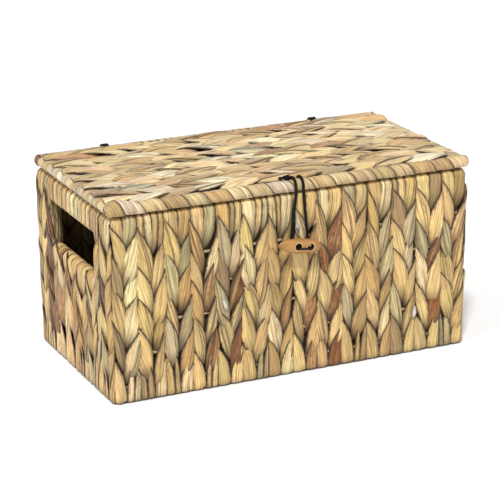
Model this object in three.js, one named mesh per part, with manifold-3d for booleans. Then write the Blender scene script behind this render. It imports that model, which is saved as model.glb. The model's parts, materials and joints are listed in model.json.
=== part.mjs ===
// A lidded storage box: flat leaf twined in chevrons over a welded wire frame, with a lid lashed on
// at the back, a hand hole in each short wall, and an elastic loop that hooks behind a wooden toggle.
// Millimetres. X runs along the front, Y from front to back, Z up. The origin is on the floor, under
// the middle of the body.
import * as THREE from 'three';
import { mergeVertices } from 'three/addons/utils/BufferGeometryUtils.js';
import Module from 'manifold-3d';

const wasm = await Module();
wasm.setup();

// Body
const boxLength = 360;
const boxDepth = 190;
const bodyHeight = 174;
const wallThickness = 14;
const baseThickness = 11;
const seatGap = 0.3;

// Leaf weave: the width of one half of a chevron, the depth of the grooves between leaves, how far a
// chevron's point hangs below its ends, and the plain band where the leaves fold over the rim
const leafWidth = 12.8;
const leafGroove = 2.2;
const chevronDrop = 11;
const wallRows = 5;
const topBand = 29;
const rimFold = 6;
const foldGroove = 1.2;
const cornerRound = 3.5;
const baseBand = 14;
const baseRows = 4;
const baseLeafWidth = 20;

// Wire frame: the weaving wires of the lowest rows run right round, and those above stop at the hand holes
const roundRows = 3;
const frameWire = 4;
const hoopWire = 2.6;
const wireClearance = 0.3;
const postGap = 0.5;
const hoopCover = 1;
const hoopBend = 5;
const rimBend = 8;
const rimDrop = 5.5;

// Hand holes in the short walls
const handleWidth = 112;
const handleHeight = 38;
const handleBarHeight = 26;
const handleWireInset = 5.5;

// Lid
const lidOverhang = 1;
const lidRest = 0.4;
const lidRimDiameter = 11.4;
const lidThickness = 10;
const lidBand = 11.5;
const lidRows = 11;
const lidGroove = 2;
const wrapPitch = 20;
const wrapGroove = 0.8;

// Hinge lashings
const tieSpan = 220;
const tieCord = 2;
const tieTurns = 3;
const tieSpacing = 0.45;
const tieGap = 0.35;
const tieCover = 1.2;
const tieBend = 2;
const tieTail = 4;
const tieNotchGap = 0.6;

// Closure: the loop on the lid and the toggle below it sit a little right of the middle
const closureX = 3;

// Elastic loop on the lid
const loopCord = 2.7;
const loopGap = 0.35;
const loopTopWidth = 7.4;
const loopWidth = 16;
const loopStartAngle = 30;
const loopNotchGap = 0.8;
const loopKnotLength = 8;
const loopKnotDiameter = 4.4;

// Toggle on the front wall. At rest its right end hangs a few degrees low.
const toggleDrop = 47.3;
const toggleLength = 45;
const toggleHeight = 15;
const toggleThickness = 8;
const toggleStandoff = 6;
const toggleBluntness = 0.68;
const toggleHoleSpacing = 12.5;
const toggleHole = 6;
const toggleOffset = -3;
const toggleTilt = 8.3;
const stitchCord = 1.8;
const stitchGap = 0.35;
const stitchKnotDiameter = 9;
const stitchKnotLength = 6;

// Facets
const wireSides = 6;
const channelSides = 4;
const bendSteps = 2;
const tieSides = 6;
const tieRimSteps = 12;
const tieBendSteps = 3;
const cordSides = 8;
const knotSides = 8;
const wrapSides = 8;
const wrapStepsPerTurn = 3;
const toggleSides = 14;
const toggleSteps = 10;
const loopSteps = 46;
const loopRimSteps = 6;
const loopRunSteps = 3;
const loopBightSteps = 8;
const stitchSteps = 38;
const foldAngles = [60, 120];

// A leaf's crown stays this share of the leaf's length from each end, and leans this share of its width
const crownInset = 0.25;
const crownLean = 0.3;

// A wrap's grooves narrow with this power. The stitch hangs this share of its slack low in its holes.
const lapSharpness = 3;
const stitchSag = 0.7;

// A knot's ends are this share of its width, and its shoulders this share of its length from them
const knotEnd = 0.65;
const knotShoulder = 0.3;

// Stretches of a cord nearer than this many diameters along it are next to each other
const nextAlong = 4;

// Places that follow from the sizes
const halfLength = boxLength / 2;
const halfDepth = boxDepth / 2;
const innerHalfLength = halfLength - wallThickness;
const innerHalfDepth = halfDepth - wallThickness;
const rimDepth = wallThickness / 2;
const rimZ = bodyHeight - rimDrop;
const hoopDepth = leafGroove + hoopCover + wireClearance + hoopWire / 2;
const rowPitch = (bodyHeight - topBand) / wallRows;
const handleTopZ = bodyHeight - handleBarHeight;
const sillZ = handleTopZ - handleHeight;
const jambY = handleWidth / 2;
const lidLength = boxLength + 2 * lidOverhang;
const lidDepth = boxDepth + 2 * lidOverhang;
const lidRimRadius = lidRimDiameter / 2;
const lidZ = bodyHeight + lidRest + lidRimRadius;
const lidRimX = lidLength / 2 - lidThickness / 2;
const lidRimY = lidDepth / 2 - lidRimRadius;
const lidPitch = (lidLength - 2 * lidBand) / lidRows;
const lidEdgeY = lidRimY - lidRimRadius - seatGap;
const baseHalfDepth = innerHalfDepth - seatGap;
const basePitch = (2 * baseHalfDepth - 2 * baseBand) / baseRows;
const toggleZ = bodyHeight - toggleDrop;
const toggleY = -halfDepth - toggleStandoff - toggleThickness / 2;

const axisX = new THREE.Vector3(1, 0, 0);
const axisY = new THREE.Vector3(0, 1, 0);
const axisZ = new THREE.Vector3(0, 0, 1);
const point = (x, y, z) => new THREE.Vector3(x, y, z);
const midway = (a, b) => a.clone().add(b).multiplyScalar(0.5);
const evenly = (count, make) => Array.from({ length: count }, (_, k) => make(k));

// Solids and cuts

function toSolid(geometry) {
  const bare = geometry.clone();
  bare.deleteAttribute('normal');
  bare.deleteAttribute('uv');
  const merged = mergeVertices(bare, 1e-4);
  return new wasm.Manifold(new wasm.Mesh({
    numProp: 3,
    vertProperties: merged.attributes.position.array,
    triVerts: new Uint32Array(merged.index.array),
  }));
}

function cut(geometry, tools) {
  let solid = toSolid(geometry);
  for (const tool of tools) {
    solid = solid.subtract(toSolid(tool));
  }
  const mesh = solid.getMesh();
  return fromTriangles(mesh.vertProperties, Array.from(mesh.triVerts));
}

function fromTriangles(positions, indices) {
  const geometry = new THREE.BufferGeometry();
  geometry.setAttribute('position', new THREE.Float32BufferAttribute(positions, 3));
  geometry.setIndex(indices);
  return geometry;
}

function block(low, high) {
  const size = high.clone().sub(low);
  const middle = midway(low, high);
  return new THREE.BoxGeometry(size.x, size.y, size.z).translate(middle.x, middle.y, middle.z);
}

// Wires and cords

// A straight round rod between two points.
function rod(from, to, radius, sides = wireSides) {
  const along = to.clone().sub(from);
  const middle = midway(from, to);
  const turn = new THREE.Quaternion().setFromUnitVectors(axisY, along.clone().normalize());
  return new THREE.CylinderGeometry(radius, radius, along.length(), sides)
    .applyQuaternion(turn)
    .translate(middle.x, middle.y, middle.z);
}

// Triangles between rings of the same number of corners, with flat ends unless the rings close.
function joinRings(ringCount, sides, closed) {
  const indices = [];
  for (let i = 0; i < (closed ? ringCount : ringCount - 1); i += 1) {
    const low = i * sides;
    const high = ((i + 1) % ringCount) * sides;
    for (let k = 0; k < sides; k += 1) {
      const next = (k + 1) % sides;
      indices.push(low + k, low + next, high + next, low + k, high + next, high + k);
    }
  }
  const last = (ringCount - 1) * sides;
  for (let k = 1; !closed && k < sides - 1; k += 1) {
    indices.push(0, k + 1, k, last, last + k, last + k + 1);
  }
  return indices;
}

// A round tube along points, mitred at each bend. side is a direction the path never runs along.
function sweep(points, radius, sides, closed, side) {
  const count = points.length;
  const positions = [];
  points.forEach((here, i) => {
    const before = points[closed ? (i + count - 1) % count : Math.max(i - 1, 0)];
    const after = points[closed ? (i + 1) % count : Math.min(i + 1, count - 1)];
    const arriving = here.clone().sub(before).normalize();
    const leaving = after.clone().sub(here).normalize();
    const tangent = arriving.clone().add(leaving).normalize();
    const isEnd = !closed && (i === 0 || i === count - 1);
    const bend = isEnd ? point(0, 0, 0) : leaving.clone().sub(arriving);
    const stretch = 1 / Math.sqrt(1 - bend.lengthSq() / 4) - 1;
    bend.normalize();
    const across = side.clone().cross(tangent).normalize();
    const over = tangent.clone().cross(across);
    for (let k = 0; k < sides; k += 1) {
      const angle = (2 * Math.PI * (k + 0.5)) / sides;
      const spoke = across.clone().multiplyScalar(Math.cos(angle)).addScaledVector(over, Math.sin(angle));
      spoke.addScaledVector(bend, stretch * spoke.dot(bend));
      positions.push(...here.clone().addScaledVector(spoke, radius).toArray());
    }
  });
  return fromTriangles(positions, joinRings(count, sides, closed));
}

// A soft cord on a smooth curve through points.
function cord(points, diameter, steps) {
  const outline = evenly(cordSides, (k) => {
    const angle = (2 * Math.PI * k) / cordSides;
    return new THREE.Vector2(Math.cos(angle), Math.sin(angle)).multiplyScalar(diameter / 2);
  });
  const path = new THREE.CatmullRomCurve3(points, false, 'centripetal');
  return new THREE.ExtrudeGeometry(new THREE.Shape(outline), { steps, extrudePath: path });
}

// Points of an arc round a centre, in the plane of two directions.
function arc(centre, first, second, radius, startDegrees, endDegrees, steps) {
  return evenly(steps + 1, (i) => {
    const angle = THREE.MathUtils.degToRad(startDegrees + ((endDegrees - startDegrees) * i) / steps);
    return centre.clone()
      .addScaledVector(first, radius * Math.cos(angle))
      .addScaledVector(second, radius * Math.sin(angle));
  });
}

// A rectangle with bent corners round a centre, in the plane of two directions.
function bentRectangle(centre, first, second, halfFirst, halfSecond, bend) {
  const corners = [[1, 1, 0], [-1, 1, 90], [-1, -1, 180], [1, -1, 270]];
  return corners.flatMap(([a, b, start]) => {
    const middle = centre.clone()
      .addScaledVector(first, a * (halfFirst - bend))
      .addScaledVector(second, b * (halfSecond - bend));
    return arc(middle, first, second, bend, start, start + 90, bendSteps);
  });
}

// A barrel-shaped knot with its axis along X, centred on the origin.
function knot(length, diameter) {
  const radius = diameter / 2;
  const profile = [
    [0, 0], [knotEnd, 0], [1, knotShoulder], [1, 1 - knotShoulder], [knotEnd, 1], [0, 1],
  ];
  const points = profile.map(([r, along]) => new THREE.Vector2(r * radius, (along - 0.5) * length));
  return new THREE.LatheGeometry(points, knotSides).rotateZ(-Math.PI / 2);
}

// Woven panels

// A twined panel in its own directions: u across the strands, v along them, and depth in from the
// crowns of the outer leaves. Each half of a chevron is a column that runs round the panel's section:
// up the outer face in slanting leaves, over the top fold, down the plain inner face and under the
// bottom fold. rows are the heights where one leaf gives way to the next. An edge that meets another
// panel at a corner of the box is mitred.
function weavePanel({ from, to, bottom, top, thickness, rows, groove, fold, width, mitreFrom, mitreTo }) {
  const columns = Math.max(2, Math.round((to - from) / width));
  const mitreGap = seatGap / Math.SQRT2;
  const half = thickness / 2;
  const crest = Math.sin(THREE.MathUtils.degToRad(foldAngles[0]));
  const foldBottom = bottom + fold;
  const foldTop = top - fold;
  const reach = chevronDrop / 2 + foldGroove / 2;
  const edges = rows.filter((row) => row - reach > foldBottom && row + reach < foldTop);
  const positions = [];
  const indices = [];

  function vertex(share, v, depth) {
    const start = from + (mitreFrom ? depth + mitreGap : 0);
    const end = to - (mitreTo ? depth + mitreGap : 0);
    positions.push(start + share * (end - start), v, -depth);
    return positions.length / 3 - 1;
  }

  // Height and depth at an angle round a fold, which goes up or down from where it starts.
  function foldPoint(start, way, degrees, sunk) {
    const angle = THREE.MathUtils.degToRad(degrees);
    const rise = ((fold - sunk) * Math.sin(angle)) / crest;
    return [start + way * rise, half - (half - sunk) * Math.cos(angle)];
  }

  // The groove beside a column, as heights and depths round the section.
  function section(line) {
    const atCorner = (line === 0 && mitreFrom) || (line === columns && mitreTo);
    const sunk = atCorner ? cornerRound : groove;
    const sunkFold = atCorner ? cornerRound : foldGroove;
    const hang = (line % 2 === 0 ? 0.5 : -0.5) * chevronDrop;
    return [
      [foldBottom, sunk],
      ...edges.map((row) => [row + hang, sunk]),
      [foldTop, sunk],
      ...foldAngles.map((degrees) => foldPoint(foldTop, 1, degrees, sunkFold)),
      [foldTop, thickness],
      [foldBottom, thickness],
      ...foldAngles.toReversed().map((degrees) => foldPoint(foldBottom, -1, degrees, sunkFold)),
    ];
  }

  const lines = evenly(columns + 1, (line) => (
    section(line).map(([v, depth]) => ({ v, depth, id: vertex(line / columns, v, depth) }))
  ));

  // A cell with corners a to d, raised along a spine of crowns, which may run on past its ends.
  function cell([a, b, c, d], spine, startsHere, endsHere) {
    const last = spine.length - 1;
    spine.slice(0, last).forEach((crown, i) => {
      indices.push(a, crown, spine[i + 1], b, spine[i + 1], crown);
    });
    indices.push(a, spine[last], d, b, c, spine[last]);
    if (startsHere) {
      indices.push(a, b, spine[0]);
    }
    if (endsHere) {
      indices.push(d, spine[last], c);
    }
  }

  function weaveColumn(column) {
    const left = lines[column];
    const right = lines[column + 1];
    const middle = (column + 0.5) / columns;
    const corners = (s) => {
      const e = (s + 1) % left.length;
      return [left[s].id, right[s].id, right[e].id, left[e].id];
    };
    const crowns = (start, way) => [0, ...foldAngles].map((degrees) => (
      vertex(middle, ...foldPoint(start, way, degrees, 0))
    ));
    const over = crowns(foldTop, 1);
    const under = crowns(foldBottom, -1);
    const last = edges.length;

    // A leaf's crowns lie along it, from its high end on one side to its low end on the other.
    const lean = (column % 2 === 0 ? crownLean : -crownLean) / columns / 2;
    const crownAt = (s, share, shift) => {
      const low = (left[s].v + right[s].v) / 2;
      const high = (left[s + 1].v + right[s + 1].v) / 2;
      const isSlanted = s > 0 && s < last;
      return vertex(middle + (isSlanted ? shift : 0), low + (high - low) * share, 0);
    };
    for (let s = 0; s <= last; s += 1) {
      const spine = [
        s === 0 ? under[0] : crownAt(s, crownInset, lean),
        s === last ? over[0] : crownAt(s, 1 - crownInset, -lean),
      ];
      cell(corners(s), spine, s > 0, s < last);
    }

    cell(corners(last + 1), [over[0], over[1]]);
    cell(corners(last + 2), [over[1], over[2]]);
    cell(corners(last + 3), [over[2]], false, true);
    const [a, b, c, d] = corners(last + 4);
    indices.push(a, b, c, a, c, d);
    cell(corners(last + 5), [under[2]], true, false);
    cell(corners(last + 6), [under[2], under[1]]);
    cell(corners(last + 7), [under[1], under[0]]);
  }

  evenly(columns, weaveColumn);
  for (const line of [0, columns]) {
    const ring = lines[line];
    const outline = ring.map(({ v, depth }) => new THREE.Vector2(v, -depth));
    for (const [a, b, c] of THREE.ShapeUtils.triangulateShape(outline, [])) {
      const turn = outline[b].clone().sub(outline[a]).cross(outline[c].clone().sub(outline[a]));
      const facesForward = turn > 0;
      const corners = [ring[a].id, ring[b].id, ring[c].id];
      indices.push(...(facesForward === (line > 0) ? corners : corners.reverse()));
    }
  }
  return fromTriangles(positions, indices);
}

// Turns a panel's own directions to three directions of the box, with its crowns through a point.
function lay(panel, u, v, outward, origin) {
  return panel.applyMatrix4(new THREE.Matrix4().makeBasis(u, v, outward).setPosition(origin));
}

const rowEdges = (start, pitch, count) => evenly(count + 1, (k) => start + pitch * k);
const wallEdges = rowEdges(0, rowPitch, wallRows);
const wallWeave = {
  thickness: wallThickness, rows: wallEdges, groove: leafGroove, fold: rimFold, width: leafWidth,
};

// The body's wires. Each is made at its own size, and again larger as the square channel it runs in.

function wireSection(diameter, grow) {
  const sides = grow > 0 ? channelSides : wireSides;
  const corner = grow > 0 ? 1 / Math.cos(Math.PI / channelSides) : 1;
  return [(diameter / 2 + grow) * corner, sides];
}

const hoopHeights = evenly(wallRows, (k) => rowPitch * (k + 0.5));
const handleWireY = jambY + handleWireInset;
const postSeat = hoopBend - hoopWire / 2 - frameWire / 2 - postGap;
const postDepth = hoopDepth + hoopBend - postSeat / Math.SQRT2;

function bodyRing(z, depth, bend, diameter, grow) {
  const path = bentRectangle(point(0, 0, z), axisX, axisY, halfLength - depth, halfDepth - depth, bend);
  return sweep(path, ...wireSection(diameter, grow), true, axisZ);
}

// A weaving wire at the height of the hand holes runs along one long wall and round its two corners.
function longWallWire(z, way, grow) {
  const x = halfLength - hoopDepth;
  const y = halfDepth - hoopDepth;
  const endY = handleWireY + frameWire / 2 + wireClearance - grow;
  const bendCentre = (side) => point(side * (x - hoopBend), hoopBend - y, z);
  const path = [
    point(-x, -endY, z),
    ...arc(bendCentre(-1), axisX, axisY, hoopBend, 180, 270, bendSteps),
    ...arc(bendCentre(1), axisX, axisY, hoopBend, 270, 360, bendSteps),
    point(x, -endY, z),
  ];
  const placed = path.map((p) => point(way * p.x, way * p.y, p.z));
  return sweep(placed, ...wireSection(hoopWire, grow), false, axisZ);
}

function handleWire(side, grow) {
  const centre = point(side * (halfLength - rimDepth), 0, sillZ + handleHeight / 2);
  const halfHeight = handleHeight / 2 + handleWireInset;
  const path = bentRectangle(centre, axisY, axisZ, handleWireY, halfHeight, rimBend);
  return sweep(path, ...wireSection(frameWire, grow), true, axisX);
}

function cornerPost(sideX, sideY, grow) {
  const x = sideX * (halfLength - postDepth);
  const y = sideY * (halfDepth - postDepth);
  const inset = frameWire / 2 + wireClearance - grow;
  return rod(point(x, y, rimDrop + inset), point(x, y, rimZ - inset), ...wireSection(frameWire, grow));
}

function baseRod(k, grow) {
  const x = halfLength - rimDepth - frameWire / 2 - wireClearance + grow;
  const y = -baseHalfDepth + baseBand + basePitch * (k + 0.5);
  return rod(point(-x, y, rimDrop), point(x, y, rimDrop), ...wireSection(hoopWire, grow));
}

const bodyWires = {
  top_rim_wire: (grow) => bodyRing(rimZ, rimDepth, rimBend, frameWire, grow),
  base_rim_wire: (grow) => bodyRing(rimDrop, rimDepth, rimBend, frameWire, grow),
  left_handle_wire: (grow) => handleWire(-1, grow),
  right_handle_wire: (grow) => handleWire(1, grow),
};
for (const [nameY, sideY] of [['front', -1], ['back', 1]]) {
  for (const [nameX, sideX] of [['left', -1], ['right', 1]]) {
    bodyWires[`post_${nameY}_${nameX}`] = (grow) => cornerPost(sideX, sideY, grow);
  }
}
hoopHeights.forEach((z, k) => {
  if (k < roundRows) {
    bodyWires[`hoop_${k + 1}`] = (grow) => bodyRing(z, hoopDepth, hoopBend, hoopWire, grow);
  } else {
    bodyWires[`front_hoop_${k + 1}`] = (grow) => longWallWire(z, 1, grow);
    bodyWires[`back_hoop_${k + 1}`] = (grow) => longWallWire(z, -1, grow);
  }
});
evenly(baseRows, (k) => {
  bodyWires[`base_rod_${k + 1}`] = (grow) => baseRod(k, grow);
});
const bodyChannels = Object.values(bodyWires).map((make) => make(wireClearance));

// The lid's wires

function lidRod(k, grow) {
  const x = -lidLength / 2 + lidBand + lidPitch * (k + 0.5);
  const y = lidRimY - frameWire / 2 - wireClearance + grow;
  return rod(point(x, -y, lidZ), point(x, y, lidZ), ...wireSection(hoopWire, grow));
}

function lidRimWire(grow) {
  const path = bentRectangle(point(0, 0, lidZ), axisX, axisY, lidRimX, lidRimY, rimBend);
  return sweep(path, ...wireSection(frameWire, grow), true, axisZ);
}

const lidWires = { lid_rim_wire: lidRimWire };
evenly(lidRows, (k) => {
  lidWires[`lid_rod_${k + 1}`] = (grow) => lidRod(k, grow);
});
const lidChannels = Object.values(lidWires).map((make) => make(wireClearance));

// Hinge lashings: a cord wound round the lid's rear rim and, through the wall under its rim wire,
// round the top of the rear wall

const tieRadius = lidRimRadius + tieGap + tieCord / 2;
const tieOuterY = halfDepth + tieGap + tieCord / 2;
const tieInnerY = innerHalfDepth - tieGap - tieCord / 2;
const tieLowZ = rimZ - frameWire / 2 - wireClearance - tieCover - tieGap - tieCord / 2;
const tiePitch = tieCord + tieSpacing;
const tieHalfWidth = (tieTurns * tiePitch + tieCord) / 2;
const tieCentres = { left: -tieSpan / 2, right: tieSpan / 2 };

// One turn goes up inside the wall, over the lid's rim, down the back and in through the wall. The cord
// starts and ends in a short tail that hangs inside the wall.
function tiePath(centreX) {
  const hinge = point(0, lidRimY, lidZ);
  const frontTop = point(0, lidRimY - tieRadius, lidZ);
  const frontLow = point(0, tieInnerY, bodyHeight - rimFold);
  const rearTop = point(0, lidRimY + tieRadius, lidZ);
  const rearLow = point(0, tieOuterY, tieLowZ + tieBend);
  const outer = point(0, tieOuterY - tieBend, tieLowZ + tieBend);
  const innerUp = point(0, tieInnerY + tieBend, tieLowZ + tieBend);
  const innerDown = point(0, tieInnerY + tieBend, tieLowZ - tieBend);
  const overRim = [
    frontLow,
    midway(frontLow, frontTop),
    ...arc(hinge, axisY, axisZ, tieRadius, 180, 0, tieRimSteps),
    midway(rearTop, rearLow),
    ...arc(outer, axisY, axisZ, tieBend, 0, -90, tieBendSteps),
  ];
  const backUp = arc(innerUp, axisY, axisZ, tieBend, -90, -180, tieBendSteps);
  const stepX = tiePitch / (overRim.length + backUp.length);
  const endTail = [
    ...arc(innerDown, axisY, axisZ, tieBend, 90, 180, tieBendSteps),
    point(0, tieInnerY, tieLowZ - tieBend - tieTail),
  ];
  const path = [point(-3 * stepX, tieInnerY, tieLowZ - tieTail)];
  path.push(point(-2 * stepX, tieInnerY, tieLowZ + tieBend));
  evenly(tieTurns, (turn) => {
    const isLast = turn === tieTurns - 1;
    const route = isLast ? overRim : [...overRim, ...backUp];
    path.push(...route.map((p, i) => p.clone().setX(tiePitch * turn + stepX * i)));
  });
  path.push(...endTail.map((p) => p.setX(tiePitch * tieTurns)));
  return path.map((p) => p.add(point(centreX - (tiePitch * tieTurns) / 2, 0, 0)));
}

// The least clear space between stretches of a cord that are not next to each other on it.
function leastGap(path, diameter) {
  let least = Infinity;
  path.forEach((p, i) => path.slice(i + 1).reduce((walked, q, j) => {
    const distance = walked + q.distanceTo(path[i + j]);
    if (distance > nextAlong * diameter) {
      least = Math.min(least, p.distanceTo(q) - diameter);
    }
    return distance;
  }, 0));
  return least;
}

// The slot that a lashing takes through the rear wall, and the notch beside it in the lid's weave.
function tieSlot(centreX) {
  const reach = tieHalfWidth + tieGap;
  const low = point(centreX - reach, innerHalfDepth - tieBend, tieLowZ - tieCord / 2 - tieGap);
  const high = point(centreX + reach, halfDepth + tieBend, tieLowZ + tieCord / 2 + tieGap);
  return block(low, high);
}

function tieNotch(centreX) {
  const strandTop = lidRimY - tieRadius;
  const share = lidThickness / 2 / (lidZ - tieLowZ - tieBend);
  const strandY = strandTop + Math.min(0, share * (tieInnerY - strandTop));
  const reach = tieHalfWidth + tieNotchGap;
  const low = point(centreX - reach, strandY - tieCord / 2 - tieNotchGap, lidZ - lidThickness);
  return block(low, point(centreX + reach, lidRimY, lidZ + lidThickness));
}

// Closure: the elastic loop over the lid's front rim, and where it runs

const shankX = (stitchCord + stitchGap) / 2;
const shankRadius = shankX + stitchCord / 2;
const loopRadius = lidRimRadius + loopGap + loopCord / 2;
const loopWallY = -halfDepth - loopGap - loopCord / 2;
const loopFrontY = -lidRimY - loopRadius;
const loopHook = shankRadius + loopGap + loopCord / 2;

function loopPath() {
  const topX = loopTopWidth / 2;
  const lowX = loopWidth / 2;
  const wideZ = toggleZ + toggleHeight / 2;
  const bight = point(0, loopWallY, toggleZ - loopHook + lowX);
  const between = (share) => point(
    THREE.MathUtils.lerp(topX, lowX, share),
    THREE.MathUtils.lerp(loopFrontY, loopWallY, share),
    THREE.MathUtils.lerp(lidZ - lidRimRadius, wideZ, share),
  );
  const rim = point(topX, -lidRimY, lidZ);
  const right = [
    ...arc(rim, axisY, axisZ, loopRadius, loopStartAngle, 180, loopRimSteps),
    ...evenly(loopRunSteps + 1, (i) => between(i / loopRunSteps)),
  ];
  const left = right.map((p) => point(-p.x, p.y, p.z)).reverse();
  return [...right, ...arc(bight, axisX, axisZ, lowX, 0, -180, loopBightSteps), ...left];
}

function loopNotch() {
  const reach = loopTopWidth / 2 + loopCord / 2 + loopNotchGap;
  const back = -lidRimY + loopRadius + loopCord / 2 + loopNotchGap;
  const low = point(closureX - reach, -lidRimY, lidZ - lidThickness);
  return block(low, point(closureX + reach, back, lidZ + lidThickness));
}

// Toggle, in its own place with the shank of its stitch on the origin's Y axis

function toggleBody() {
  const profile = evenly(toggleSteps + 1, (i) => {
    const along = Math.cos(Math.PI * (1 - i / toggleSteps));
    const radius = (toggleHeight / 2) * Math.max(0, 1 - along * along) ** toggleBluntness;
    return new THREE.Vector2(radius, (along * toggleLength) / 2);
  });
  const spindle = new THREE.LatheGeometry(profile, toggleSides)
    .rotateZ(-Math.PI / 2)
    .scale(1, toggleThickness / toggleHeight, 1)
    .translate(toggleOffset, 0, 0);
  const holes = [-0.5, 0.5].map((side) => rod(
    point(side * toggleHoleSpacing, -toggleThickness, 0),
    point(side * toggleHoleSpacing, toggleThickness, 0),
    toggleHole / 2,
    toggleSides,
  ));
  return cut(spindle, holes);
}

// The stitch comes out of the wall in two legs, spreads behind the toggle, goes through its holes and
// lies across the web between them, low in the holes.
function stitchPath() {
  const holeX = toggleHoleSpacing / 2;
  const webX = holeX - toggleHole / 2;
  const slack = toggleHole / 2 - stitchCord / 2 - stitchGap;
  const halfThickness = toggleThickness / 2;
  const wallY = halfThickness + toggleStandoff;
  const clear = stitchGap + stitchCord / 2;
  const drop = -slack * stitchSag;
  const right = [
    point(shankX, wallY + wallThickness, 0),
    point(shankX, wallY + wallThickness / 2, 0),
    point(shankX, wallY - stitchGap, 0),
    point(shankX, halfThickness + toggleStandoff / 2 + stitchGap / 2, 0),
    point(webX + stitchGap, halfThickness + clear, drop / 3),
    point(webX + clear + stitchGap, halfThickness - stitchGap, drop / 2),
    point(holeX - stitchGap / 2, 0, drop),
    point(holeX - stitchGap / 2, -halfThickness + stitchGap, drop),
    point(webX + clear, -halfThickness - clear + stitchGap / 2, drop),
    point(webX / 2, -halfThickness - clear, drop),
  ];
  const left = right.map((p) => point(-p.x, p.y, p.z)).reverse();
  return [...right, ...left];
}

function stitchHole() {
  const reach = shankRadius + stitchGap;
  return rod(
    point(closureX, -halfDepth - wallThickness, toggleZ),
    point(closureX, -innerHalfDepth + wallThickness, toggleZ),
    reach,
    2 * wireSides,
  );
}

// The lid's wrapped rims: a rod of leaf strip whose turns lap in a spiral

function wrappedRim(centreY) {
  const rings = Math.round((lidLength * wrapStepsPerTurn) / wrapPitch);
  const positions = [];
  evenly(rings + 1, (i) => {
    const x = lidLength * (i / rings - 0.5);
    evenly(wrapSides, (k) => {
      const angle = (2 * Math.PI * k) / wrapSides;
      const turns = x / wrapPitch - k / wrapSides;
      const fromLap = Math.abs(2 * (turns - Math.floor(turns)) - 1);
      const radius = lidRimRadius - wrapGroove * fromLap ** lapSharpness;
      positions.push(x, centreY + radius * Math.cos(angle), lidZ + radius * Math.sin(angle));
    });
  });
  return fromTriangles(positions, joinRings(rings + 1, wrapSides, false));
}

// Assembly

const part = new THREE.Group();
const box = new THREE.Group();
const lid = new THREE.Group();
const closure = new THREE.Group();
const toggle = new THREE.Group();
closure.position.setX(closureX);
toggle.position.set(closureX, toggleY, toggleZ);
toggle.rotation.y = THREE.MathUtils.degToRad(toggleTilt);
part.add(box, lid, closure, toggle);

const leafTones = { wall: 0xcdb083, lid: 0xd8bf90, rim: 0xd2b27c, handle: 0xc7a878, base: 0xbfa374 };
const leaf = (tone) => (
  new THREE.MeshStandardMaterial({ color: leafTones[tone], roughness: 0.75, metalness: 0 })
);
const boundWire = () => new THREE.MeshStandardMaterial({ color: 0xc9ad7d, roughness: 0.85, metalness: 0 });
const blackCord = () => new THREE.MeshStandardMaterial({ color: 0x17150f, roughness: 0.85, metalness: 0 });
const wood = () => new THREE.MeshStandardMaterial({ color: 0xb9793a, roughness: 0.55, metalness: 0 });

function piece(group, name, geometry, material) {
  const mesh = new THREE.Mesh(geometry, material);
  mesh.name = name;
  group.add(mesh);
}

for (const [name, make] of Object.entries(bodyWires)) {
  piece(box, name, make(0), boundWire());
}
for (const [name, make] of Object.entries(lidWires)) {
  piece(lid, name, make(0), boundWire());
}

// Long walls
const longWall = { ...wallWeave, from: -halfLength, to: halfLength, bottom: 0, top: bodyHeight };
const longWallPanel = () => weavePanel({ ...longWall, mitreFrom: true, mitreTo: true });
const frontWall = lay(longWallPanel(), axisX, axisZ, axisY.clone().negate(), point(0, -halfDepth, 0));
const backWall = lay(longWallPanel(), axisX.clone().negate(), axisZ, axisY, point(0, halfDepth, 0));
const tieSlots = Object.values(tieCentres).map(tieSlot);
piece(box, 'front_wall', cut(frontWall, [...bodyChannels, stitchHole()]), leaf('wall'));
piece(box, 'back_wall', cut(backWall, [...bodyChannels, ...tieSlots]), leaf('wall'));

// Short walls: two stiles at the corners, the panel under the hand hole and the bar over it
const shortWallGroups = {
  stile_a: { from: -halfDepth, to: -jambY - seatGap, bottom: 0, top: bodyHeight, mitreFrom: true },
  stile_b: { from: jambY + seatGap, to: halfDepth, bottom: 0, top: bodyHeight, mitreTo: true },
  sill: { from: -jambY, to: jambY, bottom: 0, top: sillZ },
  handle_bar: { from: -jambY, to: jambY, bottom: handleTopZ, top: bodyHeight },
};
const shortWallNames = {
  left: { stile_a: 'rear_stile', stile_b: 'front_stile', sill: 'sill_panel', handle_bar: 'handle_bar' },
  right: { stile_a: 'front_stile', stile_b: 'rear_stile', sill: 'sill_panel', handle_bar: 'handle_bar' },
};
for (const [wall, side] of [['left', -1], ['right', 1]]) {
  const across = axisY.clone().multiplyScalar(side);
  const outward = axisX.clone().multiplyScalar(side);
  for (const [group, shape] of Object.entries(shortWallGroups)) {
    const panel = weavePanel({ ...wallWeave, ...shape });
    const placed = lay(panel, across, axisZ, outward, point(side * halfLength, 0, 0));
    const tone = group === 'handle_bar' ? 'handle' : 'wall';
    piece(box, `${wall}_${shortWallNames[wall][group]}`, cut(placed, bodyChannels), leaf(tone));
  }
}

// Base, flat underneath
const basePanel = weavePanel({
  from: -innerHalfLength + seatGap,
  to: innerHalfLength - seatGap,
  bottom: -baseHalfDepth,
  top: baseHalfDepth,
  thickness: baseThickness,
  rows: rowEdges(-baseHalfDepth + baseBand, basePitch, baseRows),
  groove: leafGroove,
  fold: rimFold,
  width: baseLeafWidth,
});
const basePlaced = lay(basePanel, axisX, axisY, axisZ, point(0, 0, baseThickness));
piece(box, 'base', cut(basePlaced, bodyChannels), leaf('base'));

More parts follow.
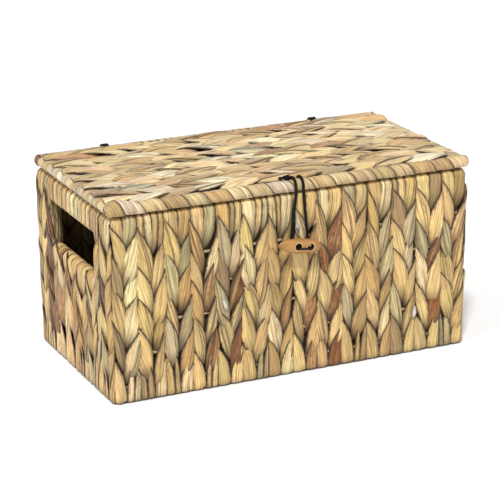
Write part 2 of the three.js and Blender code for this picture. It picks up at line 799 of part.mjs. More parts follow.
// Lid
const lidWeave = weavePanel({
  from: -lidEdgeY,
  to: lidEdgeY,
  bottom: -lidLength / 2,
  top: lidLength / 2,
  thickness: lidThickness,
  rows: rowEdges(-lidLength / 2 + lidBand, lidPitch, lidRows),
  groove: lidGroove,
  fold: lidThickness / 2,
  width: leafWidth,
});
const lidTop = point(0, 0, lidZ + lidThickness / 2);
const lidPlaced = lay(lidWeave, axisY, axisX.clone().negate(), axisZ, lidTop);
const lidNotches = [...Object.values(tieCentres).map(tieNotch), loopNotch()];
piece(lid, 'lid_panel', cut(lidPlaced, [...lidChannels, ...lidNotches]), leaf('lid'));
piece(lid, 'lid_front_wrap', cut(wrappedRim(-lidRimY), lidChannels), leaf('rim'));
piece(lid, 'lid_rear_wrap', cut(wrappedRim(lidRimY), lidChannels), leaf('rim'));

// Hinge lashings
for (const [name, centreX] of Object.entries(tieCentres)) {
  const path = tiePath(centreX);
  piece(box, `${name}_hinge_tie`, sweep(path, tieCord / 2, tieSides, false, axisX), blackCord());
  console.log(`${name} hinge tie: least gap to itself ${leastGap(path, tieCord).toFixed(2)} mm`);
}

// Closure loop and its knot on top of the rim
piece(closure, 'closure_loop', cord(loopPath(), loopCord, loopSteps), blackCord());
const knotX = -(loopTopWidth + loopCord + loopKnotLength) / 2 - loopGap;
const knotZ = lidZ + lidRimRadius + seatGap + loopKnotDiameter / 2;
const loopKnot = knot(loopKnotLength, loopKnotDiameter).translate(knotX, -lidRimY, knotZ);
piece(closure, 'loop_knot', loopKnot, blackCord());

// Toggle, its stitch and the knot that holds the stitch inside the wall
piece(toggle, 'toggle', toggleBody(), wood());
piece(toggle, 'toggle_stitch', cord(stitchPath(), stitchCord, stitchSteps), blackCord());
const stitchKnotY = -innerHalfDepth - toggleY + seatGap + stitchKnotLength / 2;
const stitchKnot = knot(stitchKnotLength, stitchKnotDiameter).rotateZ(Math.PI / 2).translate(0, stitchKnotY, 0);
piece(toggle, 'toggle_knot', stitchKnot, blackCord());

export default part;
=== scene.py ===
import functools
import json
import math

import bpy
import numpy as np
from mathutils import Matrix, Vector


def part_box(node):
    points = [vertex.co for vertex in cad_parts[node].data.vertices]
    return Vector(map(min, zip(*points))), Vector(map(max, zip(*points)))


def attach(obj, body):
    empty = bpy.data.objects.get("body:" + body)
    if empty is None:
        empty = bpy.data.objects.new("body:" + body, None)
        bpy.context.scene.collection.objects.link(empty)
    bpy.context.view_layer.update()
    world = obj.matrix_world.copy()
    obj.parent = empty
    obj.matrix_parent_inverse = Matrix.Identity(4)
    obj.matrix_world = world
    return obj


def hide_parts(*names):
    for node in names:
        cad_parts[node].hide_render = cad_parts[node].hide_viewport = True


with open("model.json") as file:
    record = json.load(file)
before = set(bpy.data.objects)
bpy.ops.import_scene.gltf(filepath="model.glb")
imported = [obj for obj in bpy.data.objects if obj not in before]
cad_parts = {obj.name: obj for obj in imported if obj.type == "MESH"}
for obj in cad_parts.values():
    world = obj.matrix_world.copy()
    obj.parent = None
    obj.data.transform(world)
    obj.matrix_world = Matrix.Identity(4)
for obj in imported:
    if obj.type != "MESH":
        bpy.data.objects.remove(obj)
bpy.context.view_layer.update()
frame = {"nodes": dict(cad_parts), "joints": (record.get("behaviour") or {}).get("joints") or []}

MM = 0.001
rng = np.random.default_rng(3)


def box_mm(node):
    low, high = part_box(node)
    return np.array(low) / MM, np.array(high) / MM


def middle_of(node, axis):
    return np.mean(box_mm(node), axis=0)[axis]


def span_of(node, axis):
    return np.ptp(box_mm(node), axis=0)[axis]


def low_of(node, axis):
    return round(box_mm(node)[0][axis], 2)


def high_of(node, axis):
    return round(box_mm(node)[1][axis], 2)


# Sizes read from the frame

BODY_HEIGHT = high_of("front_wall", 2)
HALF_LENGTH = -low_of("left_sill_panel", 0)
HALF_DEPTH = -low_of("front_wall", 1)
WALL = round(span_of("front_wall", 1), 2)
INNER_LENGTH = HALF_LENGTH - WALL
INNER_DEPTH = HALF_DEPTH - WALL
SILL_Z = high_of("left_sill_panel", 2)
JAMB_Y = high_of("left_sill_panel", 1)
BAR_Z = low_of("left_handle_bar", 2)
BASE_TOP = high_of("base", 2)
LID_HALF = high_of("lid_panel", 0)
LID_EDGE = high_of("lid_panel", 1)
LID_TOP = high_of("lid_panel", 2)
LID_BOTTOM = low_of("lid_panel", 2)
LID_THICK = LID_TOP - LID_BOTTOM
LID_Z = (LID_TOP + LID_BOTTOM) / 2
RIM_RADIUS = span_of("lid_front_wrap", 2) / 2
RIM_Y = middle_of("lid_front_wrap", 1)
REAR_Y = middle_of("lid_rear_wrap", 1)
TIE_X = [middle_of("left_hinge_tie", 0), middle_of("right_hinge_tie", 0)]
TOGGLE_THICK = span_of("toggle", 1)

# Wires that the leaves are woven on

HOOP_NODES = ["hoop_1", "hoop_2", "hoop_3", "front_hoop_4", "front_hoop_5"]
LID_ROD_COUNT = 11
BASE_ROD_COUNT = 4

HOOPS = [middle_of(node, 2) for node in HOOP_NODES]
ROW_PITCH = HOOPS[1] - HOOPS[0]
EDGE_ROW = HOOPS[-1] + ROW_PITCH
WALL_ROWS = HOOPS[:0:-1]
LINING_ROWS = [row for row in HOOPS if row > BASE_TOP]
LID_RODS = sorted(middle_of(f"lid_rod_{k + 1}", 0) for k in range(LID_ROD_COUNT))
LID_PITCH = LID_RODS[1] - LID_RODS[0]
LID_ROWS = [-x for x in LID_RODS]
BASE_RODS = [middle_of(f"base_rod_{k + 1}", 1) for k in range(BASE_ROD_COUNT)]
BASE_PITCH = BASE_RODS[1] - BASE_RODS[0]
BASE_ROWS = [BASE_RODS[0] - BASE_PITCH, *BASE_RODS, BASE_RODS[-1] + BASE_PITCH]

# Half-chevrons across each face

LONG_COLUMNS = 28
STILE_COLUMNS = 3
HOLE_COLUMNS = 9
BAR_STRIPS = 11
LINING_COLUMNS = 26
LINING_STILE_COLUMNS = 2
LID_COLUMNS = 13
COLUMN_SPREAD = 0.12
STILE_SPREAD = 0.06
BAR_SPREAD = 0.2

# One leaf: it fits a column of LEAF_COLUMN, and its place along it runs from -1 at the top to 1

LEAF_WIDTH = 15.2
LEAF_COLUMN = 12.8
LEAF_REACH = 1.9
LEAF_THICKNESS = 1.3
LEAF_STEPS = 20
PLAIN_STEPS = 9
SKIN = 0.4
SLANT = 6.6
STAGGER = 5.2
ROLL = math.radians(34)
TOP_DIP = 0.9
TOP_CURVE = 4.0
TOP_POINT = 1.75
LOW_DIP = 6.4
LOW_CURVE = 2.4
LOW_POINT = 2.2
TIP_TAPER = 0.97
TIP_LIFT = 0.35
WALL_BULGE = 0.9

# Its section

DOME = 3.0
DOME_POWER = 3.2
CROWN_SPAN = 0.86
UNDER_SHARE = 0.72
CREASE = 0.75
CREASE_WIDTH = 0.11
CREASE_REACH = 0.8
SEED_RANGE = 500

# How leaves vary

LENGTH_RANGE = (0.94, 1.14)
SLANT_RANGE = (0.75, 1.25)
WIDTH_MEAN = 1.02
WIDTH_VARIES = 0.15
WIDTH_LIMITS = (0.7, 1.38)
ROLL_RANGE = (0.7, 1.25)
ROLL_VARIES = 0.09
SIDE_VARIES = 0.6
BOW_VARIES = 1.2
DEPTH_VARIES = 0.4
WAVE = 0.3
WAVE_RANGE = (2, 5)
ROW_VARIES = 1.5
LID_ROW_VARIES = 1.2
PAIR_SHIFT = 3.4
PAIR_LIMIT = 1.7
HALF_SHIFT = 1.2
FOLDED_SHARE = 0.4
FLECK_SHARE = 0.012
FLECK_STEPS = 5
SPLIT_SHARE = 0.35
SPLIT_RANGE = (0.38, 0.62)
PALE_SHARE = 0.8
NEW_TONE_SHARE = 0.45

# Strips over edges

FOLD = 6.6
FOLD_SINK = 0.3
INNER_DROP = 26.0
FOOT_FOLD = 3.6
FOOT_RISE = 0.5
FOOT_UNDER = 5.0
BAR_FOLD = 6.0
EDGE_HALF = 0.53
STRIP_HALF = 0.54
FOOT_HALF = 0.55
EDGE_ROLL = 0.8
ARC_STEPS = 9
FACE_STEPS = 14
JAMB_ROUND = 6.0
JAMB_STRIP = 7.0
JAMB_TURNS = np.linspace(math.pi * 0.42, math.pi * 1.55, 6)
JAMB_STEPS = 16
CORNER = 6.0
# A dark sheet behind the leaves stands for the shade between them: painted shade
CORE_DEPTH = 7.0
CORE_STEP = 12
CORE_SHADE = 0.14

# Linings and base

# Painted shade: the linings are painted darker than the outer weave, for the shade inside the closed box
LINING_SHADE = 0.42
BASE_SHADE = 0.8
LINING_TOP = BODY_HEIGHT - 16
LINING_LOW = BASE_TOP - 3
BASE_UNDER = 0.9

# Lid

LID_LOW_DIP = 5.0
LID_BULGE = 3.4
LID_LEAF_SPREAD = 1.12
LID_SKIN = 0.3
LID_GAP = 0.2
LID_FOLD = LID_THICK / 2 - LID_GAP
LID_INNER = 16.0
LID_STRIP_HALF = 0.57
LID_STRIP_TAPER = 0.95
LID_STRIP_STEPS = 10
TIE_HALF = 6.2
TIE_CLEAR_Y = 80.6
TIE_EASE = 5.0
TIE_GIVE = 7.0

# Wrapped rims of the lid

RIM_END = 4.0
RIM_LAP = 0.12
RIM_SEAM = 0.35
RIM_SINK = 0.7
RIM_LEAN = 0.03
RIM_SHADE = 0.84
RIM_STEPS = 40
KNOB_REACH = 11.0

# Cords

CURVE_STEPS = 4
CORD_SIDES = 14
THREAD_SIDES = 12
CORD_END = 0.72
OFF_AXIS = (0.3, 0.5, 0.8)
CORD_GAP = 0.35
TIE_CORD = 2.0
TIE_TURNS = 3
TIE_PITCH = 2.45
TIE_BEND = 2.0
TIE_TAIL = 4.0
LOOP_CORD = 2.7
LOOP_TOP = 3.7
LOOP_LOW = 8.0
KNOT_CORD = 2.0
KNOT_GAP = 0.15
KNOT_STEPS = 60
THREAD = 1.8
INNER_CORD = 2.2

# Toggle

TOGGLE_LENGTH = 45.0
TOGGLE_HEIGHT = 15.0
TOGGLE_INSET = 0.35
TOGGLE_OFFSET = -3.0
TOGGLE_TILT = math.radians(8.3)
TOGGLE_END = 0.25
BLUNTNESS = 0.56
HOLE = 6.0
HOLE_SPACING = 12.5
HOLE_FLARE = 0.4
HOLE_MOUTH = 1.6

# Leaf tones, as sRGB of the dry leaf, with how common each is and how speckled

TONES = [
    ((226, 190, 124), 0.26, 0.08),
    ((236, 202, 136), 0.22, 0.0),
    ((212, 172, 106), 0.14, 0.2),
    ((244, 218, 162), 0.10, 0.0),
    ((206, 188, 138), 0.09, 0.05),
    ((182, 154, 106), 0.05, 0.3),
    ((200, 148, 90), 0.05, 0.6),
    ((148, 86, 38), 0.035, 1.0),
    ((116, 70, 36), 0.02, 1.0),
]
PALE_TONES = [0, 0, 1, 1, 2, 3, 4]
LAST_PALE = 4
LID_SWAP_SHARE = 0.65
RIM_TONES = [0, 0, 1, 1, 1, 2, 3]
CORE_TONE = 2
# Painted light: the lid's and rims' leaves are painted lighter and paler than the walls', for the light and
# pale sheen on the lid
LID_PAINTED_LIGHT = (1.12, 1.18, 1.44)
LIGHT_VARIES = 0.1
TINT_VARIES = 0.03
SPECKLE_RANGE = (0.5, 1.4)
FLECK = (250, 244, 232)
FLECK_SPECKLE = 0.1


def linear(rgb):
    share = np.array(rgb, float) / 255
    return np.where(share <= 0.04045, share / 12.92, ((share + 0.055) / 1.055) ** 2.4)


tone_srgb, tone_odds, tone_speckle = zip(*TONES)
tone_colours = linear(tone_srgb)
tone_odds = np.array(tone_odds) / np.sum(tone_odds)


def any_tone():
    return rng.choice(len(TONES), p=tone_odds)


def leaf_look(tone=None, shade=1.0, tint=(1.0, 1.0, 1.0)):
    """Colour and speckle of one leaf."""
    index = any_tone() if tone is None else tone
    light = shade * rng.normal(1.0, LIGHT_VARIES)
    tint = np.array(tint) * rng.normal(1.0, TINT_VARIES, 3)
    colour = np.clip(tone_colours[index] * light * tint, 0.0, 1.0)
    return np.append(colour, min(1.0, tone_speckle[index] * rng.uniform(*SPECKLE_RANGE)))


def strand_tones(count):
    """Tones down one column: two strands take turns, and each keeps its tone for a few leaves."""
    pair = [any_tone() for _ in range(2)]
    tones = []
    for k in range(count):
        if rng.random() < NEW_TONE_SHARE:
            pair[k % 2] = any_tone()
        tones.append(pair[k % 2])
    return tones


# Meshes


def stacked(*values):
    """Rows of numbers, one column for each value. A single number fills its column."""
    return np.stack(np.broadcast_arrays(*values), axis=-1)


def joined(*parts):
    return np.concatenate(parts)


def unit(vectors):
    return vectors / np.linalg.norm(vectors, axis=-1, keepdims=True)


def length_along(path):
    return joined([0.0], np.cumsum(np.linalg.norm(np.diff(path, axis=0), axis=1)))


def tube_faces(first, rings, size):
    """Side faces and end caps of a tube whose rings of points follow one another from first."""
    ring = np.arange(size)
    following = np.roll(ring, -1)
    base = first + np.arange(rings - 1)[:, None] * size
    sides = np.stack([base + ring, base + following, base + size + following, base + size + ring], axis=2)
    caps = np.stack([first + ring[::-1], first + (rings - 1) * size + ring])
    return sides.reshape(-1, 4), caps


def mesh_object(name, points, quads, caps):
    """A smooth mesh from points in millimetres, four-sided faces and end caps of equal size."""
    mesh = bpy.data.meshes.new(name)
    loops = joined(np.ravel(quads), np.ravel(caps)).astype(np.int32)
    sizes = joined(np.full(len(quads), 4), np.full(len(caps), caps.shape[1]))
    starts = joined([0], np.cumsum(sizes)[:-1]).astype(np.int32)
    mesh.vertices.add(len(points))
    mesh.vertices.foreach_set("co", (points * MM).astype(np.float32).ravel())
    mesh.loops.add(len(loops))
    mesh.loops.foreach_set("vertex_index", loops)
    mesh.polygons.add(len(sizes))
    mesh.polygons.foreach_set("loop_start", starts)
    mesh.update(calc_edges=True)
    mesh.validate()
    mesh.polygons.foreach_set("use_smooth", np.ones(len(mesh.polygons), bool))
    obj = bpy.data.objects.new(name, mesh)
    bpy.context.scene.collection.objects.link(obj)
    return obj


def point_layer(mesh, name, values):
    """Values that the mesh carries at each point, as vectors or as colours with a fourth share."""
    kind, field = ("FLOAT_COLOR", "color") if values.shape[1] == 4 else ("FLOAT_VECTOR", "vector")
    layer = mesh.attributes.new(name, kind, "POINT")
    layer.data.foreach_set(field, values.astype(np.float32).ravel())


def finish_piece(obj, body, slot, nodes=()):
    obj.data.materials.clear()
    obj.data.materials.append(MATERIALS[slot])
    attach(obj, body)
    if nodes:
        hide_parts(*nodes)


class Weave:
    """Strips of leaf, each a closed lens along a path, gathered into one mesh."""

    def __init__(self, across=13, under=3):
        crown = np.sin(np.linspace(-1, 1, across) * math.pi / 2 * CROWN_SPAN)
        crown /= crown[-1]
        self.share = joined(crown, np.linspace(UNDER_SHARE, -UNDER_SHARE, under))
        self.across = across
        self.strips = []
        self.count = 0

    def on(self, panel):
        """A function that lays strips on a panel."""
        return functools.partial(self.strip, panel)

    def strip(self, panel, path, half_width, look, roll=0.0, side=(1, 0, 0), dome=DOME,
              thick=LEAF_THICKNESS, creases=3, crease=CREASE, edge_shade=1.0):
        steps = len(path)
        share = self.share
        tangent = unit(np.gradient(path, axis=0))
        side = np.broadcast_to(np.array(side, float), path.shape)
        side = unit(side - tangent * np.sum(side * tangent, axis=1)[:, None])
        normal = np.cross(tangent, side)
        turn = np.broadcast_to(np.asarray(roll, float), steps)[:, None]
        across = side * np.cos(turn) + normal * np.sin(turn)
        out = normal * np.cos(turn) - side * np.sin(turn)

        width = np.broadcast_to(np.asarray(half_width, float), steps)[:, None]
        height = -dome * np.abs(share) ** DOME_POWER
        for _ in range(creases):
            place = rng.uniform(-CREASE_REACH, CREASE_REACH)
            height -= crease * rng.uniform(0.25, 1.0) * np.exp(-((share - place) / CREASE_WIDTH) ** 2)
        height = height * np.minimum(1.0, width / (LEAF_WIDTH / 2))
        height[:, self.across:] -= thick
        reach = width * share
        points = path[:, None] + across[:, None] * reach[:, :, None] + out[:, None] * height[:, :, None]

        place = stacked(reach, length_along(path)[:, None], rng.uniform(0, SEED_RANGE))
        # form: distance from the strip's edge, place from one end to the other, and strength of the painted
        # shade along its edges
        form = stacked((1 - np.abs(share)) * width, np.linspace(-1, 1, steps)[:, None], edge_shade)
        quads, caps = tube_faces(self.count, steps, len(share))
        looks = np.repeat(look[None, :], steps * len(share), axis=0)
        self.strips.append((panel(points.reshape(-1, 3)), quads[:, [0, 3, 2, 1]], caps[:, ::-1], looks,
                            place.reshape(-1, 3), form.reshape(-1, 3)))
        self.count += steps * len(share)

    def build(self, name, body, slot, nodes=()):
        points, quads, caps, *layers = (joined(*part) for part in zip(*self.strips))
        obj = mesh_object(name, points, quads, caps)
        for layer, values in zip(("leaf_look", "leaf_place", "leaf_form"), layers):
            point_layer(obj.data, layer, values)
        finish_piece(obj, body, slot, nodes)


# Panels: from their own directions to the box


def flat_panel(origin, across, along):
    turn = np.array([across, along, np.cross(across, along)], float)
    return lambda points: np.array(origin, float) + points @ turn


def corner_panel(half, origin, across, out):
    """An upright wall whose ends run on round the corners of the box."""
    straight = half - CORNER
    quarter = math.pi / 2 * CORNER
    origin, across, out = np.array([origin, across, out], float)

    def place(points):
        u, v, d = points.T
        past = np.maximum(np.abs(u) - straight, 0.0)
        angle = np.minimum(past, quarter) / CORNER
        beyond = np.maximum(past - quarter, 0.0)
        radius = np.maximum(CORNER + d, 0.3)
        along = np.where(past > 0, np.sign(u) * (straight + radius * np.sin(angle)), u)
        rise = np.where(past > 0, radius * np.cos(angle) - CORNER - beyond, d)
        world = origin + along[:, None] * across + rise[:, None] * out
        world[:, 2] += v
        return world

    return place


def corner_reach(half):
    """Half of a wall's length, measured round to the middle of its corner."""
    return half - CORNER + math.pi / 4 * CORNER


def clipped(panel, axis, low, high):
    """A panel whose points stop at limits along one axis of the box."""

    def place(points):
        world = panel(points)
        world[:, axis] = np.clip(world[:, axis], low, high)
        return world

    return place


def clear_of_ties(panel):
    """The lid's weave stays in front of the lashings on its rear rim."""

    def place(points):
        world = panel(points)
        for centre in TIE_X:
            apart = np.clip((np.abs(world[:, 0] - centre) - TIE_HALF) / TIE_EASE, 0, 1)
            limit = np.where(apart < 1, TIE_CLEAR_Y + TIE_GIVE * apart, np.inf)
            world[:, 1] = np.minimum(world[:, 1], limit)
        return world

    return place


def rod_panel(centre_y, knob):
    """A rim with drawn-in ends: v runs round it from the front. Its left end swells upward by knob."""

    def place(points):
        u, v, d = points.T
        near = np.clip((np.abs(u) - (LID_HALF - RIM_END)) / RIM_END, 0, 1)
        swell = knob * np.exp(-((u + LID_HALF - KNOB_REACH) / KNOB_REACH) ** 2)
        radius = (RIM_RADIUS + swell + d) * np.sqrt(np.maximum(0.03, 1 - near ** 2))
        angle = v / RIM_RADIUS
        x = np.clip(u, -LID_HALF - 0.3 * d, LID_HALF + 0.3 * d)
        return stacked(x, centre_y - radius * np.cos(angle), LID_Z + swell + radius * np.sin(angle))

    return place


# Leaves of a plaited face


def columns(start, end, count, spread=COLUMN_SPREAD):
    """Middles and widths of the half-chevrons between two edges."""
    widths = rng.uniform(1 - spread, 1 + spread, count)
    widths *= (end - start) / widths.sum()
    edges = start + joined([0.0], np.cumsum(widths))
    return [((edges[k] + edges[k + 1]) / 2, widths[k]) for k in range(count)]


def pair_phases(count):
    """How far each half-chevron sits above its row: much the same for the two of a pair."""
    limit = PAIR_LIMIT * PAIR_SHIFT
    pairs = np.clip(rng.normal(0, PAIR_SHIFT, count // 2 + 1), -limit, limit)
    return np.repeat(pairs, 2)[:count] + rng.normal(0, HALF_SHIFT, count)


def leaf_depth(t, low_dip=LOW_DIP):
    return -SKIN - np.where(t < 0, TOP_DIP * np.abs(t) ** TOP_CURVE, low_dip * np.abs(t) ** LOW_CURVE)


def taper(t):
    return 1 - TIP_TAPER * np.where(t < 0, np.abs(t) ** TOP_POINT, np.abs(t) ** LOW_POINT)


def plaited_leaf(lay, middle, width, centre, pitch, hand, look,
                 low_dip=LOW_DIP, bulge=WALL_BULGE, flecks=FLECK_SHARE):
    """One leaf of a chevron, from the outer line of its column down to the point of the V."""
    t = np.linspace(-1, 1, LEAF_STEPS)
    bow = 1 - t ** 2
    scale = width / LEAF_COLUMN
    half_length = pitch * LEAF_REACH / 2 * rng.uniform(*LENGTH_RANGE)
    slant = hand * SLANT * scale * rng.uniform(*SLANT_RANGE)
    across = middle + slant * t + rng.normal(0, SIDE_VARIES) + rng.normal(0, BOW_VARIES) * bow
    along = centre + hand * STAGGER - half_length * t
    depth = leaf_depth(t, low_dip) + rng.normal(0, DEPTH_VARIES)
    depth -= WAVE * np.cos(t * rng.uniform(*WAVE_RANGE))
    depth += bulge * bow + np.where(t < 0, t ** 2, 0) * (hand + rng.normal()) * TIP_LIFT
    path = stacked(across, along, depth)
    spread = np.clip(rng.normal(WIDTH_MEAN, WIDTH_VARIES), *WIDTH_LIMITS)
    half = LEAF_WIDTH / 2 * scale * spread * taper(t)
    roll = -hand * ROLL * t * rng.uniform(*ROLL_RANGE) + rng.normal(0, ROLL_VARIES)
    lay(path, half, look, roll, creases=rng.integers(2, 6))
    if rng.random() < FOLDED_SHARE:
        folded_edge(lay, path, half, roll, look)
    if rng.random() < flecks:
        pith_fleck(lay, path)


def folded_edge(lay, path, half, roll, look):
    """A narrow fold of the leaf that lies along it, a little proud."""
    place = rng.uniform(-0.6, 0.6)
    share = rng.uniform(0.2, 0.42)
    fold = path.copy()
    fold[:, 0] += place * half * np.cos(roll)
    fold[:, 2] += place * half * np.sin(roll) + rng.uniform(0.25, 0.55)
    fold_look = look.copy() if rng.random() < 0.7 else leaf_look()
    fold_look[:3] *= rng.uniform(0.8, 1.12)
    lay(fold, half * share, fold_look, roll, dome=DOME * 0.7, thick=0.9, creases=1, edge_shade=0.6)


def pith_fleck(lay, path):
    """A torn bit of white pith curled up from a leaf."""
    start = rng.integers(4, 9)
    piece = path[start:start + FLECK_STEPS].copy()
    piece[:, 0] += rng.uniform(-4, 4) + rng.normal(0, 0.3, FLECK_STEPS)
    piece[:, 2] += 0.7 + 0.8 * np.sin(np.linspace(0, math.pi, FLECK_STEPS))
    half = rng.uniform(1.8, 3.4) * np.array([0.2, 0.7, 1.0, 0.8, 0.3])
    look = np.append(linear(FLECK), FLECK_SPECKLE)
    lay(piece, half, look, rng.normal(0, 0.4), dome=0.5, thick=0.6, creases=2, edge_shade=0.4)


def wall_fold(place, fold, arc, sink):
    """The turn of a strip over or under an edge of a wall."""
    return stacked(0, place + fold * np.sin(arc) - sink, -WALL / 2 + (WALL / 2 - SKIN) * np.cos(arc))


def edge_strip(lay, middle, width, top, centre, hand, look):
    """A strip that comes up inside a wall, folds over its edge and slants down to the point of a V."""
    fold_low = top - FOLD
    half_length = ROW_PITCH * LEAF_REACH / 2
    tip = centre - half_length * rng.uniform(0.95, 1.08)
    inside = np.linspace(fold_low - INNER_DROP, fold_low, 5)[:-1]
    arc = np.linspace(math.pi, 0, ARC_STEPS)
    outside = np.linspace(fold_low, tip, FACE_STEPS + 1)[1:]
    run = (fold_low - outside) / (fold_low - tip)
    t = np.clip((centre - outside) / half_length, 0, 1)
    turned = len(inside) + len(arc)
    path = joined(
        stacked(0, inside, -WALL + SKIN),
        wall_fold(fold_low, FOLD, arc, FOLD_SINK),
        stacked(hand * SLANT * width / LEAF_COLUMN * run ** 1.5, outside, leaf_depth(t)),
    )
    path[:, 0] += middle
    path[turned:, 2] += rng.normal(0, 0.2)
    half = joined(np.full(turned, width * EDGE_HALF), width * (EDGE_HALF + 0.05 * run) * taper(t))
    half[:2] *= [0.5, 0.85]
    roll = joined(np.zeros(turned), -hand * ROLL * EDGE_ROLL * t)
    lay(path, half, look, roll, dome=DOME * 0.5, thick=0.9, creases=4, edge_shade=0.85)


def foot_strip(lay, middle, width, centre, hand, look):
    """A strip that starts on the outer line of its column, widens and folds under the box."""
    half_length = ROW_PITCH * LEAF_REACH / 2
    start = centre + half_length * rng.uniform(0.9, 1.05)
    rest = FOOT_FOLD + FOOT_RISE
    face = np.linspace(start, rest, FACE_STEPS)
    run = (start - face) / (start - rest)
    t = np.clip((centre - face) / half_length, -1, 0)
    arc = np.linspace(0, math.pi / 2, 5)[1:]
    under = FOOT_UNDER * np.array([0.5, 1.0])
    turned = len(arc) + len(under)
    path = joined(
        stacked(-hand * SLANT * width / LEAF_COLUMN * (1 - run) ** 1.6, face, leaf_depth(t)),
        stacked(0, rest - FOOT_FOLD * np.sin(arc), -SKIN - FOOT_FOLD * (1 - np.cos(arc))),
        stacked(0, FOOT_RISE + 0.05, -SKIN - FOOT_FOLD - under),
    )
    path[:, 0] += middle
    widening = 1 - 0.95 * (1 - run) ** 2.6
    half = joined(width * FOOT_HALF * widening, np.full(turned, width * STRIP_HALF))
    half[-1] *= 0.7
    roll = joined(-hand * ROLL * EDGE_ROLL * t, np.zeros(turned))
    lay(path, half, look, roll, dome=DOME * 0.6, thick=0.5)


def bar_strip(lay, middle, width, look):
    """A strip wrapped right round the bar over a hand hole."""
    high = BODY_HEIGHT - FOLD
    low = BAR_Z + BAR_FOLD
    inner = -WALL + SKIN
    path = joined(
        stacked(0, np.linspace(low, high, 4)[:-1], inner),
        wall_fold(high, FOLD, np.linspace(math.pi, 0, ARC_STEPS), FOLD_SINK),
        stacked(0, np.linspace(high, low, 6)[1:-1], -SKIN),
        wall_fold(low, BAR_FOLD, np.linspace(0, -math.pi, ARC_STEPS), -FOLD_SINK),
        stacked(0, np.linspace(low, high, 4)[1:], inner - FOLD_SINK),
    )
    path[:, 0] = middle + rng.normal(0, 0.5) * np.linspace(-1, 1, len(path))
    lay(path, width * STRIP_HALF, look, dome=DOME * 0.5, thick=0.8)


def jamb_strip(lay, way, turn, look):
    """An upright strip at one turn of the rounded edge of a hand hole. way points out of the hole."""
    run = np.linspace(0, 1, JAMB_STEPS)
    height = np.linspace(BAR_Z + 9, SILL_Z - 10, JAMB_STEPS)
    drift = turn + rng.normal(0, 0.12) + np.linspace(0.22, -0.22, JAMB_STEPS) * rng.uniform(0.3, 1.2)
    path = stacked(way * JAMB_Y + way * (JAMB_ROUND + JAMB_ROUND * np.cos(drift)), height,
                   -WALL / 2 + (WALL / 2 - 0.6) * np.sin(drift))
    path[:, 0] += rng.normal(0, 0.25) * np.sin(height * 0.12)
    narrowing = np.minimum(1, 0.35 + 4 * np.minimum(run, run[::-1]))
    half = JAMB_STRIP / 2 * rng.uniform(0.85, 1.2) * narrowing
    side = stacked(np.sin(drift), 0, -way * np.cos(drift))
    lay(path, half, look, side=side, dome=DOME * 0.6, thick=0.8, edge_shade=0.7)


def shade_core(lay, start, end, low, high, depth=CORE_DEPTH, shade=CORE_SHADE):
    """A dark sheet in the middle of a wall: painted shade that shows between the leaves."""
    steps = max(3, int((high - low) / CORE_STEP))
    path = stacked((start + end) / 2, np.linspace(high, low, steps), -depth)
    lay(path, (end - start) / 2, leaf_look(CORE_TONE, shade), dome=0.0, thick=1.0, creases=0)


# Materials


class Surface:
    """The nodes of one material."""

    def __init__(self, name):
        self.material = bpy.data.materials.new(name)
        self.material.use_nodes = True
        self.tree = self.material.node_tree
        self.shader = self.tree.nodes["Principled BSDF"]

    def fill(self, node, inputs):
        """Numbers, vectors and colours are set on a node's inputs, and outputs are linked to them."""
        for key, value in inputs.items():
            socket = node.inputs[key]
            if isinstance(value, tuple):
                socket.default_value = (*value, 1.0)[:len(socket.default_value)]
            elif isinstance(value, (int, float)):
                socket.default_value = value
            else:
                self.tree.links.new(value, socket)

    def node(self, kind, inputs=None, **settings):
        """The outputs of a new node."""
        node = self.tree.nodes.new(kind)
        for key, value in settings.items():
            setattr(node, key, value)
        self.fill(node, inputs or {})
        return node.outputs

    def layer(self, name):
        """A layer of values that the mesh carries."""
        return self.node("ShaderNodeAttribute", attribute_name=name)

    def split(self, vector):
        return self.node("ShaderNodeSeparateXYZ", {0: vector})

    def noise(self, vector, scale, detail, rough=0.55):
        """Noise in a piece's own place, stretched by three scales."""
        place = self.node("ShaderNodeVectorMath", {0: vector, 1: scale}, operation="MULTIPLY")[0]
        inputs = {"Vector": place, "Scale": 1.0, "Detail": detail, "Roughness": rough}
        return self.node("ShaderNodeTexNoise", inputs)["Fac"]

    def ranged(self, value, low, high, to_low, to_high):
        inputs = {"Value": value, "From Min": low, "From Max": high, "To Min": to_low, "To Max": to_high}
        return self.node("ShaderNodeMapRange", inputs)["Result"]

    def calc(self, operation, first, second=0.0):
        return self.node("ShaderNodeMath", {0: first, 1: second}, operation=operation)[0]

    def times(self, first, second):
        return self.calc("MULTIPLY", first, second)

    def mix(self, factor, first, second, blend="MIX"):
        """Two colours mixed. Such a node takes its colours at inputs 6 and 7, and gives its result at 2."""
        inputs = {"Factor": factor, 6: first, 7: second}
        return self.node("ShaderNodeMix", inputs, data_type="RGBA", blend_type=blend)[2]

    def tinted(self, colour, layers):
        """A colour under layers, each a share and a colour."""
        for share, tint in layers:
            colour = self.mix(share, colour, tint)
        return colour

    def finish(self, colour, roughness, height, strength, depth):
        """Colour, roughness and fine relief of a depth in millimetres."""
        bump = self.node("ShaderNodeBump", {"Strength": strength, "Distance": depth * MM, "Height": height})
        self.fill(self.shader, {"Base Color": colour, "Roughness": roughness, "Normal": bump["Normal"]})
        return self.material


# Colours of leaf, cord, wood and wire, in linear shares

